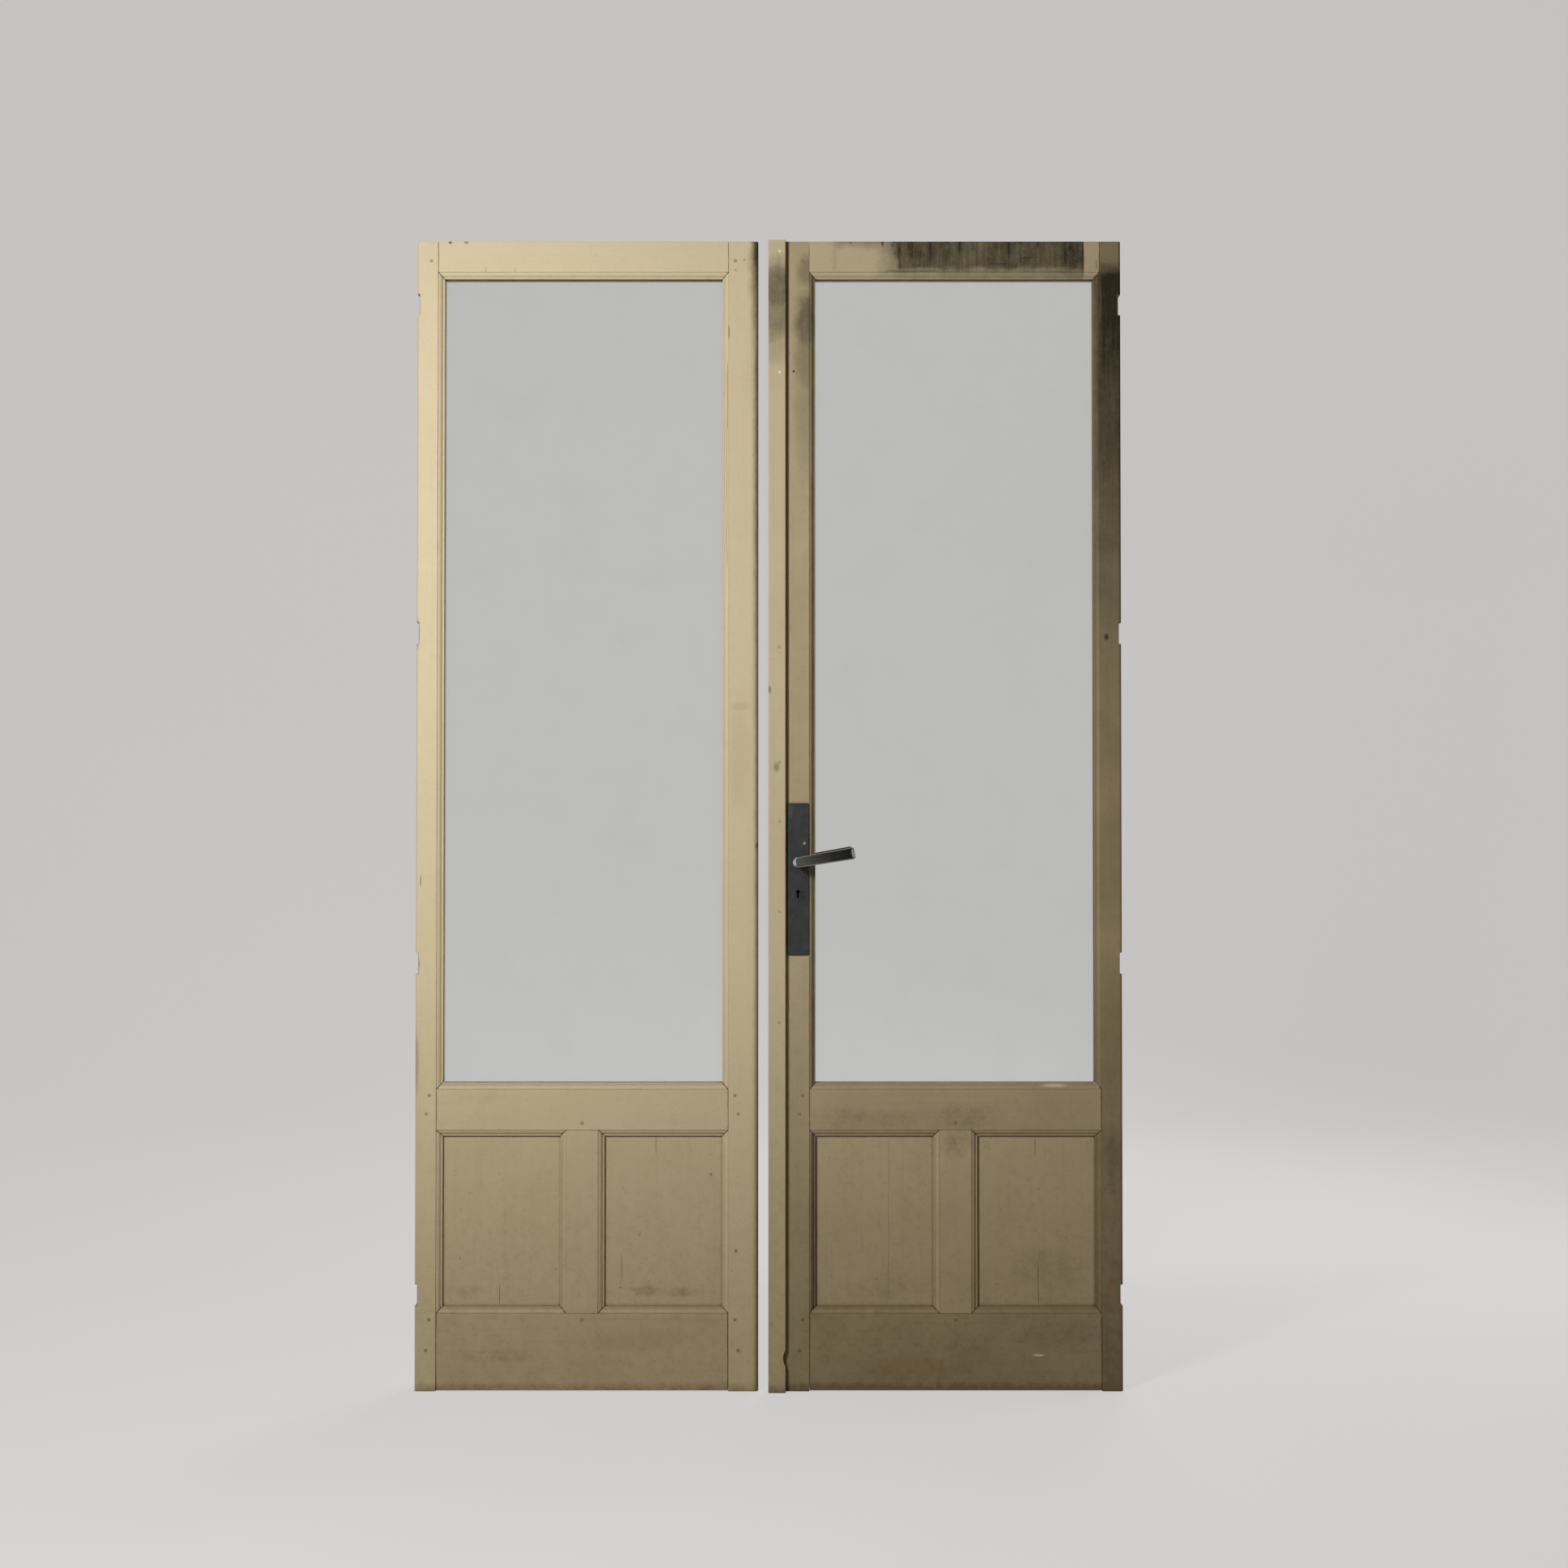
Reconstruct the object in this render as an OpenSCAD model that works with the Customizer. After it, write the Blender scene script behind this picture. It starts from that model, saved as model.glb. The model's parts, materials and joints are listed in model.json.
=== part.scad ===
// A pair of glazed and panelled door leaves with a meeting strip, a mortise lock and a lever set.
// The origin is on the floor, midway between the outer edges and midway through the thickness.
// X runs to the right along the leaves, the front faces -Y, and Z is up.

/* [Leaves] */
// Height of both leaves
leaf_h = 2250; // [2050:10:2400]
// Thickness of both leaves
leaf_t = 40; // [38:1:48]
// Clear width of the lights between their mouldings
light_w = 547; // [420:1:700]
// Flat face of the hinge stiles
hinge_stile_w = 41; // [39:1:60]
// Flat face of the left meeting stile
left_meeting_w = 58; // [54:1:80]
// Flat face of the right meeting stile
right_meeting_w = 64; // [63:1:90]
// Gap between the left leaf and the meeting strip as the pair stands
stand_gap = 20; // [4:1:40]
// Rounding of the outer front arrises of the hinge stiles
arris_r = 6; // [2:0.5:8]
// Rounding of the front arris of the left meeting stile
meeting_arris_r = 7; // [2:0.5:7]
// Rounding of the worn top outer corner of the left leaf
worn_corner_r = 7; // [2:0.5:12]

/* [Rails and panels] */
// Flat face of the top rails
top_rail_h = 60; // [55:1:90]
// Flat face of the middle rails
middle_rail_h = 79; // [70:1:120]
// Flat face of the bottom rails
bottom_rail_h = 149; // [130:1:200]
// Height of the bottom rails above the feet of the stiles
foot_gap = 2; // [0.5:0.5:6]
// Clear height of the panels between their mouldings
panel_h = 333; // [250:1:450]
// Thickness of the panels
panel_t = 12; // [9:0.5:14]
// Depth of the grooves that hold the panels
groove_d = 10; // [6:0.5:11]
// Gap between a panel's edge and the bottom of its groove
panel_play = 1.5; // [0.5:0.1:3]
// Gap between a panel's face and the side of its groove
panel_fit = 0.15; // [0.05:0.05:0.5]
// Flat face of the muntins between the panels
muntin_w = 62; // [50:1:90]

/* [Moulding] */
// Width of the moulding round every light and panel
mould_w = 12; // [11.5:0.5:16]
// Depth of the step between the flat face and the ovolo
step_d = 1.5; // [1:0.1:2.5]
// Radius of the ovolo
ovolo_r = 9; // [8.6:0.1:10]
// Width of the ovolo, which leaves a fillet beside it
ovolo_w = 8.5; // [6:0.5:8.5]
// Opening of the mitres at the moulding's corners
mitre_gap = 0.8; // [0.1:0.1:1]

/* [Joinery] */
// Thickness of the tenons
tenon_t = 13; // [9:1:16]
// Length of the rail tenons
tenon_l = 30; // [20:1:34]
// Length of the muntin tenons
muntin_tenon_l = 28; // [18:1:40]
// Width left off each tenon beside a moulding
tenon_haunch = 6; // [4:1:12]
// Width left off the end tenons towards the ends of the leaf
end_haunch = 22; // [14:1:30]
// Clearance round the tenons and pegs
joint_fit = 0.15; // [0.05:0.05:0.4]
// Room past the end of each tenon
tenon_end_gap = 2; // [0.5:0.5:4]
// Opening of the joint line between rails and stiles
shoulder_gap = 0.5; // [0.1:0.1:0.8]
// Radius of the joint pegs
peg_r = 3; // [2:0.5:4]
// Distance of the pegs from the joint line
peg_inset = 13; // [9:1:16]
// Drop of the upper pegs below the face edge of their rail
peg_drop = 12; // [11:1:20]
// Distance between the two pegs of a middle rail's tenon
middle_peg_pitch = 36; // [24:1:44]
// Distance between the two pegs of a bottom rail's tenon
bottom_peg_pitch = 60; // [40:1:80]
// How much further from the joint line the lower pegs stand
peg_stagger = 6; // [0:1:10]

/* [Glazing] */
// Thickness of the panes
glass_t = 4; // [3:0.5:6]
// Depth of the panes behind the front face
glass_depth = 16; // [12:1:20]
// Gap between a pane's edge and the rebate
glass_gap = 2; // [1:0.5:4]
// Gap between a pane and the wood in front and behind
putty_gap = 0.2; // [0.1:0.1:0.6]
// Distance of the glazing beads behind the back face
bead_setback = 2; // [0:0.5:6]
// Rounding of the glazing beads
glazing_bead_r = 5; // [2:0.5:8]
// Gap between the glazing beads and the rebate
glazing_bead_gap = 0.2; // [0.1:0.1:0.5]
// Radius of the brads in the glazing beads
brad_r = 0.8; // [0.5:0.1:1.2]
// Length of the brads
brad_l = 18; // [14:1:24]
// Largest spacing of the brads
brad_pitch = 300; // [150:10:450]

/* [Hinge recesses] */
// Height of the hinge recesses
recess_h = 42; // [30:1:80]
// Depth of the hinge recesses from the outer edge
recess_d = 5; // [3:0.5:8]
// Reach of the hinge recesses from the front face
recess_l = 34; // [24:1:37]
// Height of the lowest hinge recess
recess_low = 186; // [120:1:300]
// Drop of the highest hinge recess below the top
recess_drop = 124; // [80:1:250]
// Number of hinge recesses on each leaf
recess_count = 4; // [2:1:6]
// Radius of the screw holes in the hinge recesses
hinge_hole_r = 1.75; // [1.25:0.25:2.5]
// Spacing of the screw holes in a hinge recess
hinge_hole_pitch = 24; // [16:1:28]
// Depth of the screw holes in the hinge recesses
hinge_hole_l = 22; // [15:1:28]

/* [Meeting strip] */
// Width of the meeting strip
strip_w = 34; // [30:1:48]
// Reach of the meeting strip past the edge of the right leaf
strip_over = 16; // [12:1:24]
// Thickness of the meeting strip
strip_t = 13; // [9:0.5:18]
// Rounding of the strip's front arrises
strip_r = 2; // [1:0.5:4]
// Radius of the nail heads
nail_head_r = 3; // [2:0.5:4]
// Thickness of the nail heads
nail_head_t = 1.2; // [0.8:0.1:2]
// Radius of the nails
nail_r = 1.3; // [0.8:0.1:1.8]
// Length of the nails
nail_l = 20; // [16:1:21]
// Clearance round the nails
nail_fit = 0.1; // [0.05:0.05:0.3]
// Distance of the nails from the edge of the right leaf
nail_inset = 6; // [4:0.5:10]
// Heights of the four lower nails
low_nails = [368, 718, 934, 1110];
// Heights of the two nails above the lock
high_nails = [1226, 1451];
// Drops of the two uppermost nails below the top
nail_drops = [260, 22];
// Height of the chip broken from the strip's lower right edge
chip_z = 67; // [40:1:200]
// Length of the chip
chip_l = 34; // [10:1:60]
// Depth of the chip
chip_d = 5; // [2:0.5:8]

/* [Lock] */
// Height of the spindle above the floor
spindle_z = 1031; // [900:1:1150]
// Distance of the spindle from the edge of the right leaf
backset = 42; // [40:1:50]
// Depth of the lock case behind the forend
case_d = 56; // [54:1:60]
// Thickness of the lock case
case_t = 16; // [15:1:18]
// Wall of the lock case
case_wall = 2; // [1.5:0.25:2.5]
// Height of the lock case above the spindle
case_up = 40; // [34:1:60]
// Depth of the lock case below the spindle
case_down = 98; // [96:1:130]
// Clearance round the lock case in the stile
case_fit = 0.3; // [0.2:0.1:1]
// Width of the forend
forend_w = 22; // [20:1:26]
// Thickness of the forend
forend_t = 3; // [2:0.5:4]
// Reach of the forend past the case above and below
forend_lip = 26; // [20:1:40]
// Radius of the lock and plate screws
screw_r = 2; // [1.5:0.25:2.5]
// Radius of the screw heads
screw_head_r = 3.8; // [3:0.1:4.5]
// Depth of the screw heads
screw_head_t = 1.8; // [1.2:0.1:2]
// Length of the screws
screw_l = 20; // [14:1:24]
// Clearance round the screws
screw_fit = 0.1; // [0.05:0.05:0.3]

/* [Latch and dead bolt] */
// Throw of the latch bolt
latch_throw = 9; // [6:0.5:9]
// Height of the latch bolt's head
latch_h = 22; // [18:1:24]
// Thickness of the latch bolt's head
latch_t = 11; // [8:0.5:11]
// Length of the latch bolt's head inside the lock
latch_in = 18; // [14:1:20]
// Throw of the dead bolt
dead_throw = 14; // [8:1:16]
// Height of the dead bolt's head
dead_h = 28; // [20:1:30]
// Length of the dead bolt's head
dead_l = 26; // [20:1:28]
// Thickness of the bolt tails
tail_t = 5; // [3:0.5:7]
// Height of the bolt tails
tail_h = 7; // [5:0.5:8]
// Gap between the sweep of the follower's arm and the latch tail
arm_gap = 1.4; // [0.5:0.1:3]
// Reach of the dead bolt's tail past the key
dead_tail = 11; // [8:0.5:12]
// Depth of the notch where the key takes the dead bolt
talon_d = 3; // [2:0.5:4]
// Width of that notch
talon_w = 9; // [6:0.5:12]
// Flat left at the nose of the bevelled latch bolt
latch_nose = 2.5; // [1.5:0.5:4]
// Clearance round the bolts
bolt_fit = 0.3; // [0.3:0.05:0.6]
// Radius of the follower's hub
hub_r = 8; // [7.5:0.25:8.5]
// Radius of the follower's bearing necks
neck_r = 6.6; // [6.2:0.1:7]
// Clearance of the follower in its bearings
bearing_fit = 0.05; // [0.02:0.01:0.1]
// Reach of the follower's arm above its axis
arm_l = 14; // [12:0.5:14]
// Width of the follower's arm
arm_w = 4; // [3:0.5:5]
// Gap between the follower's arm and the latch lug
lug_gap = 1; // [0.8:0.1:1.5]
// Width of the latch lug
lug_w = 2.5; // [2:0.25:3]

/* [Keyhole] */
// Drop of the keyhole below the spindle
key_drop = 58; // [56:1:72]
// Radius of the keyhole's round end
key_r = 3.6; // [3:0.1:4]
// Width of the keyhole's slot
key_slot_w = 3.4; // [2.5:0.1:4]
// Reach of the keyhole's slot below its centre
key_slot_l = 13; // [9:0.5:15]

/* [Lever set] */
// Width of the backplates
plate_w = 41; // [36:1:44]
// Thickness of the backplates
plate_t = 3; // [2:0.5:4]
// Rise of the backplates above the spindle
plate_up = 115; // [90:1:140]
// Drop of the backplates below the spindle
plate_down = 182; // [140:1:220]
// Rounding of the backplates' corners
plate_r = 1.5; // [0.5:0.5:4]
// Offset of the backplate screws from the spindle
plate_screw_x = 13; // [11:0.5:15]
// Distance of the end screws from the backplates' ends
plate_screw_end = 5.5; // [5:0.5:12]
// Height of the upper middle screw above the spindle
plate_screw_up = 36; // [24:1:60]
// Drop of the lower middle screw below the spindle
plate_screw_down = 33; // [24:1:42]
// Side of the square spindle
spindle_w = 8; // [7:0.5:8]
// Clearance of the spindle in the follower and levers
spindle_fit = 0.1; // [0.05:0.05:0.2]
// Reach of the levers from the spindle to the tip
lever_l = 111; // [90:1:140]
// Height of the lever bars
lever_h = 22; // [18:1:26]
// Thickness of the lever bars
lever_t = 11; // [9:0.5:14]
// Rounding of the lever tips
lever_tip_r = 5; // [2:0.5:8]
// Gap between the lever bars and the backplates
lever_reach = 35; // [28:1:45]
// Radius of the lever necks
lever_neck_r = 9; // [8:0.5:10]
// Radius of the lever collars at the backplates
collar_r = 11; // [10:0.5:12]
// Length of the lever collars
collar_l = 5; // [3:0.5:8]
// Gap between the lever collars and the backplates
collar_gap = 0.4; // [0.3:0.1:1]
// Rim left round the hollow in the lever bars
lever_rim = 2; // [1.5:0.25:3]
// Depth of the hollow at the lever tip
hollow_d = 6; // [3:0.5:8]
// Distance from the spindle to the start of the hollow
hollow_start = 12; // [9:0.5:20]
// Upward tilt of the levers at rest, in degrees
lever_tilt = 9.5; // [0:0.5:12]
// Radius of the levers' set screws
set_screw_r = 2; // [1.5:0.25:2.5]
// Distance of the set screws from the lever bars
set_screw_back = 14; // [10:1:20]
// How far the spindle stops short of the lever bars
spindle_stop = 4; // [2:0.5:8]
// Clearance round the spindle in the backplates and the stile
spindle_room = 0.8; // [0.5:0.1:2]
// Rise of the backplate screws' heads
plate_screw_rise = 1.6; // [1:0.1:2.5]
// Radius at the top of the backplate screws' heads
plate_screw_top_r = 2.4; // [1.5:0.1:3]
// Length of the backplate screws
plate_screw_l = 11; // [8:0.5:12]
// Width of the screws' driver slots
slot_w = 0.9; // [0.6:0.1:1.2]
// Depth of the screws' driver slots
slot_d = 0.7; // [0.4:0.1:1]

/* [Strike plate] */
// Thickness of the strike plate
strike_t = 2; // [1.5:0.25:3]
// Width of the strike plate
strike_w = 22; // [20:1:26]
// Margin of the strike plate past its outer windows
strike_lip = 26; // [20:1:40]
// Clearance of the bolts in the strike plate
strike_fit = 1; // [0.5:0.1:2]
// Room past the ends of the thrown bolts in their sockets
socket_gap = 4; // [1:0.5:6]

/* [Flush bolts] */
// Height of the flush bolt plates
flush_h = 170; // [140:1:220]
// Width of the flush bolt plates
flush_w = 24; // [24:1:28]
// Thickness of the flush bolt plates
flush_t = 2.5; // [2:0.25:3]
// Distance of the flush bolt plates from the leaf's ends
flush_end = 30; // [24:1:60]
// Radius of the flush bolt rods
rod_r = 4.5; // [3.5:0.25:5]
// Depth of the rods' axes behind the leaf's edge
rod_d = 11; // [9:0.5:14]
// Distance of the withdrawn rods from the leaf's ends
rod_gap = 1; // [0.5:0.5:3]
// Throw of the flush bolts
flush_throw = 18; // [10:1:24]
// Height of the flush bolts' thumb pieces
thumb_h = 40; // [30:1:50]
// Width of the flush bolts' thumb pieces
thumb_w = 8; // [6:0.5:9]
// Clearance round the flush bolts
flush_fit = 0.4; // [0.3:0.05:0.8]
// Distance of the flush bolt plates' screws from the plates' ends
flush_screw_end = 10; // [6:1:16]
// Distance of the paired screws from the middle of the plates
flush_screw_y = 7.8; // [7.6:0.1:8]
// Radius of the finger scoop in the thumb pieces
scoop_r = 10; // [7:0.5:14]
// Depth of the finger scoop
scoop_d = 4; // [2:0.5:6]

/* [Hidden] */

// Smoothness of round shapes
$fn = 48;
// Overlap that lets cuts pass cleanly through a face
eps = 1;

paint_left = "#c4b085";
paint_right = "#b3a078";
steel_dark = "#3b4043";
steel_bright = "#8d8f8c";
wood_bare = "#a98a5b";
glass_tint = [0.82, 0.9, 0.88, 0.35];

// Widths, from the stiles' faces and the moulding
rail_l = light_w + 2 * mould_w;
left_w = hinge_stile_w + rail_l + left_meeting_w;
right_w = hinge_stile_w + rail_l + right_meeting_w;
half_w = (left_w + stand_gap + strip_over + right_w) / 2;
left_edge = left_w - half_w;
right_edge = half_w - right_w;
panel_w = (light_w - muntin_w - 2 * mould_w) / 2;

// Heights, from the floor up
bottom_face_top = foot_gap + bottom_rail_h;
panel_low = bottom_face_top + mould_w;
panel_high = panel_low + panel_h;
middle_face_low = panel_high + mould_w;
middle_face_top = middle_face_low + middle_rail_h;
light_low = middle_face_top + mould_w;
light_high = leaf_h - top_rail_h - mould_w;
top_face_low = leaf_h - top_rail_h;

// Depths from the front face
front_y = -leaf_t / 2;
groove_w = panel_t + 2 * panel_fit;
bead_depth = glass_depth + glass_t + 2 * putty_gap;
pane_front = front_y + glass_depth + putty_gap;
pane_back = pane_front + glass_t;

// Depth of the fillet, where the ovolo ends
fillet_d = step_d + ovolo_r - sqrt(ovolo_r * ovolo_r - ovolo_w * ovolo_w);

// Lock
spindle_x = right_edge + backset;
key_z = spindle_z - key_drop;
case_x = right_edge + forend_t;
case_low = spindle_z - case_down;
case_high = spindle_z + case_up;
forend_low = case_low - forend_lip;
forend_high = case_high + forend_lip;
cavity_t = case_t - 2 * case_wall;
arm_sweep = sqrt(arm_l * arm_l + arm_w * arm_w / 4);
tail_low = spindle_z + arm_sweep + arm_gap;
latch_high = tail_low + tail_h;
latch_low = latch_high - latch_h;
dead_low = key_z - dead_h / 2;
plate_y = leaf_t / 2 + plate_t;

// Strike plate on the left leaf's edge
strike_low = dead_low - strike_fit - strike_lip;
strike_high = latch_high + strike_fit + strike_lip;

// Hinge recesses, evenly spread
recess_step = (leaf_h - recess_drop - recess_low) / (recess_count - 1);
recess_zs = [for (i = [0 : recess_count - 1]) recess_low + i * recess_step];

// Heights of all the strip's nails
nail_zs = concat(low_nails, high_nails, [for (drop = nail_drops) leaf_h - drop]);

// Flush bolts, for the lower one
thumb_high = flush_end + flush_h / 2 + thumb_h / 2;
thumb_low = thumb_high - thumb_h;
rod_x = left_edge - rod_d;

// Puts a leaf drawn from its hinge edge at x = 0 where that leaf stands
module place(side) {
  if (side == "left")
    translate([-half_w, 0, 0]) children();
  else
    translate([half_w, 0, 0]) mirror([1, 0, 0]) children();
}

function meeting_w(side) = side == "left" ? left_meeting_w : right_meeting_w;
function paint(side) = side == "left" ? paint_left : paint_right;

// A box given by its lowest and highest corners
module block(low, high) {
  translate(low) cube(high - low);
}

// The waste between a square corner at the origin and its rounding
module corner_waste(r) {
  difference() {
    translate([-eps, -eps]) square(r + eps);
    translate([r, r]) circle(r);
  }
}

// Section of the moulding: the flat face is at y = 0, and y runs into the wood
module mould_section(depth) {
  translate([0, fillet_d]) square([mould_w, depth - fillet_d]);
  intersection() {
    translate([0, step_d + ovolo_r]) circle(ovolo_r);
    translate([0, step_d]) square([ovolo_w, depth - step_d]);
  }
}

// Section of the moulding round a light: the back is cut away for the pane and its beads
module light_section() {
  mould_section(glass_depth);
}

// Section of the moulding round a panel: alike on both faces, with a groove between
module panel_section() {
  difference() {
    union() {
      mould_section(leaf_t / 2);
      translate([0, leaf_t]) mirror([0, 1]) mould_section(leaf_t / 2);
    }
    translate([mould_w - groove_d, (leaf_t - groove_w) / 2]) square([groove_d + eps, groove_w]);
  }
}

// A length of moulding along z, with its ends mitred towards its inner edge
module mitred(len) {
  intersection() {
    linear_extrude(len) children();
    rotate([90, 0, 0]) translate([0, 0, -leaf_t - eps]) linear_extrude(leaf_t + 2 * eps)
      polygon([
        [-eps, mitre_gap - eps],
        [mould_w + eps, mitre_gap + mould_w + eps],
        [mould_w + eps, len - mitre_gap - mould_w - eps],
        [-eps, len - mitre_gap + eps]
      ]);
  }
}

// Moulding on an upright edge at x, from z low to z high, facing +x or -x
module upright_moulding(x, low, high, facing) {
  translate([x, front_y, low]) {
    if (facing > 0)
      mitred(high - low) children();
    else
      mirror([1, 0, 0]) mitred(high - low) children();
  }
}

// Moulding on a level edge at z, from x low to x high, facing +z or -z
module level_moulding(z, low, high, facing) {
  if (facing > 0)
    translate([high, front_y, z]) rotate([0, -90, 0]) mitred(high - low) children();
  else
    translate([low, front_y, z]) rotate([0, 90, 0]) mitred(high - low) children();
}

// The mouldings that a stile carries along its light and its panel
module stile_mouldings(x, facing) {
  upright_moulding(x, middle_face_top, top_face_low, facing) light_section();
  upright_moulding(x, bottom_face_top, middle_face_low, facing) panel_section();
}

// Lowest and highest point of each rail's tenon, from the bottom rail up
tenon_spans = [
  [foot_gap + end_haunch, bottom_face_top - tenon_haunch],
  [middle_face_low + tenon_haunch, middle_face_top - tenon_haunch],
  [top_face_low + tenon_haunch, leaf_h - end_haunch]
];

// Each peg in a stile: its height and its distance from the joint line
stile_pegs = [
  [bottom_face_top - peg_drop, peg_inset],
  [bottom_face_top - peg_drop - bottom_peg_pitch, peg_inset + peg_stagger],
  [middle_face_top - peg_drop, peg_inset],
  [middle_face_top - peg_drop - middle_peg_pitch, peg_inset + peg_stagger],
  [(tenon_spans[2][0] + tenon_spans[2][1]) / 2, peg_inset]
];

// One peg through the whole leaf, along y
module peg(x, z, r, len) {
  translate([x, 0, z]) rotate([90, 0, 0]) cylinder(r = r, h = len, center = true);
}

// The pegs of one leaf, or with a larger radius and length the holes for them
module leaf_pegs(r, len) {
  for (p = stile_pegs) {
    peg(hinge_stile_w - p[1], p[0], r, len);
    peg(hinge_stile_w + rail_l + p[1], p[0], r, len);
  }
  for (z = [bottom_face_top - peg_inset, middle_face_low + peg_inset])
    peg(hinge_stile_w + rail_l / 2, z, r, len);
}

// The holes for one leaf's pegs
module peg_holes() {
  leaf_pegs(peg_r + joint_fit, leaf_t + 2 * eps);
}

// The tenons at one end of all rails, or with room round them the mortises
module rail_tenons(x, facing, room, end_room) {
  for (span = tenon_spans) {
    near = x - facing * eps;
    far = x + facing * (tenon_l + end_room);
    block([min(near, far), -tenon_t / 2 - room, span[0] - room],
          [max(near, far), tenon_t / 2 + room, span[1] + room]);
  }
}

// One leaf's hinge recesses with their screw holes, at the outer edge
module hinge_recesses() {
  for (z = recess_zs) {
    block([-eps, front_y - eps, z - recess_h / 2], [recess_d, front_y + recess_l, z + recess_h / 2]);
    for (dz = [-0.5, 0.5])
      translate([recess_d - eps, front_y + recess_l / 2, z + dz * hinge_hole_pitch])
        rotate([0, 90, 0]) cylinder(r = hinge_hole_r, h = hinge_hole_l + eps);
  }
}

// Hinge stile, drawn from its outer edge
module hinge_stile(side) {
  difference() {
    union() {
      linear_extrude(leaf_h) difference() {
        translate([0, front_y]) square([hinge_stile_w, leaf_t]);
        translate([0, front_y]) corner_waste(arris_r);
      }
      stile_mouldings(hinge_stile_w, 1);
    }
    rail_tenons(hinge_stile_w, -1, joint_fit, tenon_end_gap);
    peg_holes();
    brad_holes();
    hinge_recesses();
    if (side == "left")
      translate([0, leaf_t, leaf_h]) rotate([90, 0, 0]) linear_extrude(2 * leaf_t)
        mirror([0, 1]) corner_waste(worn_corner_r);
  }
}

// Meeting stile, drawn from the hinge edge of its leaf
module meeting_stile(side) {
  x = hinge_stile_w + rail_l;
  difference() {
    union() {
      block([x, front_y, 0], [x + meeting_w(side), -front_y, leaf_h]);
      stile_mouldings(x, -1);
    }
    rail_tenons(x, 1, joint_fit, tenon_end_gap);
    peg_holes();
    brad_holes();
    if (side == "left")
      translate([x + left_meeting_w, front_y, -eps]) linear_extrude(leaf_h + 2 * eps)
        mirror([1, 0]) corner_waste(meeting_arris_r);
  }
}

// Flat body of a rail with its two tenons and peg holes
module rail_body(low, high, span) {
  left = hinge_stile_w + shoulder_gap;
  right = hinge_stile_w + rail_l - shoulder_gap;
  difference() {
    union() {
      block([left, front_y, low], [right, -front_y, high]);
      block([hinge_stile_w - tenon_l, -tenon_t / 2, span[0]],
            [hinge_stile_w + rail_l + tenon_l, tenon_t / 2, span[1]]);
    }
    peg_holes();
    brad_holes();
  }
}

module top_rail() {
  rail_body(top_face_low, leaf_h, tenon_spans[2]);
  level_moulding(top_face_low, hinge_stile_w, hinge_stile_w + rail_l, -1) light_section();
}

// Left end of each panel's moulded opening, and its length along the rails
opening_l = panel_w + 2 * mould_w;
opening_xs = [hinge_stile_w, hinge_stile_w + rail_l - opening_l];
muntin_x = hinge_stile_w + opening_l;

// Mortise for one of the muntin's tenons, cut into a rail's edge
module muntin_mortise(edge, facing) {
  near = edge - facing * eps;
  far = edge + facing * (muntin_tenon_l + tenon_end_gap);
  block([muntin_x + tenon_haunch - joint_fit, -tenon_t / 2 - joint_fit, min(near, far)],
        [muntin_x + muntin_w - tenon_haunch + joint_fit, tenon_t / 2 + joint_fit, max(near, far)]);
}

module middle_rail() {
  difference() {
    rail_body(middle_face_low, middle_face_top, tenon_spans[1]);
    muntin_mortise(middle_face_low, 1);
  }
  level_moulding(middle_face_top, hinge_stile_w, hinge_stile_w + rail_l, 1) light_section();
  for (x = opening_xs)
    level_moulding(middle_face_low, x, x + opening_l, -1) panel_section();
}

module bottom_rail() {
  difference() {
    rail_body(foot_gap, bottom_face_top, tenon_spans[0]);
    muntin_mortise(bottom_face_top, -1);
  }
  for (x = opening_xs)
    level_moulding(bottom_face_top, x, x + opening_l, 1) panel_section();
}

// Muntin with a tenon at each end and a moulding on each edge
module muntin() {
  difference() {
    union() {
      block([muntin_x, front_y, bottom_face_top + shoulder_gap],
            [muntin_x + muntin_w, -front_y, middle_face_low - shoulder_gap]);
      block([muntin_x + tenon_haunch, -tenon_t / 2, bottom_face_top - muntin_tenon_l],
            [muntin_x + muntin_w - tenon_haunch, tenon_t / 2, middle_face_low + muntin_tenon_l]);
      upright_moulding(muntin_x, bottom_face_top, middle_face_low, -1) panel_section();
      upright_moulding(muntin_x + muntin_w, bottom_face_top, middle_face_low, 1) panel_section();
    }
    peg_holes();
  }
}

// Panel in its grooves
module panel(x) {
  reach = groove_d - panel_play;
  block([x + mould_w - reach, -panel_t / 2, panel_low - reach],
        [x + mould_w + panel_w + reach, panel_t / 2, panel_high + reach]);
}

// Pane in its rebate
module pane() {
  block([hinge_stile_w + glass_gap, pane_front, middle_face_top + glass_gap],
        [hinge_stile_w + rail_l - glass_gap, pane_back, top_face_low - glass_gap]);
}

// Section of a glazing bead: x runs from the rebate to the light, y from the pane to the back
module glazing_bead_section() {
  depth = leaf_t - bead_setback;
  difference() {
    translate([glazing_bead_gap, bead_depth]) square([mould_w - glazing_bead_gap, depth - bead_depth]);
    translate([mould_w, depth]) rotate(180) corner_waste(glazing_bead_r);
  }
}

module bead_hinge_side() {
  difference() {
    upright_moulding(hinge_stile_w, middle_face_top, top_face_low, 1)
      glazing_bead_section();
    brad_holes();
  }
}

module bead_meeting_side() {
  difference() {
    upright_moulding(hinge_stile_w + rail_l, middle_face_top, top_face_low, -1)
      glazing_bead_section();
    brad_holes();
  }
}

module bead_top() {
  difference() {
    level_moulding(top_face_low, hinge_stile_w, hinge_stile_w + rail_l, -1)
      glazing_bead_section();
    brad_holes();
  }
}

module bead_bottom() {
  difference() {
    level_moulding(middle_face_top, hinge_stile_w, hinge_stile_w + rail_l, 1)
      glazing_bead_section();
    brad_holes();
  }
}

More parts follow.
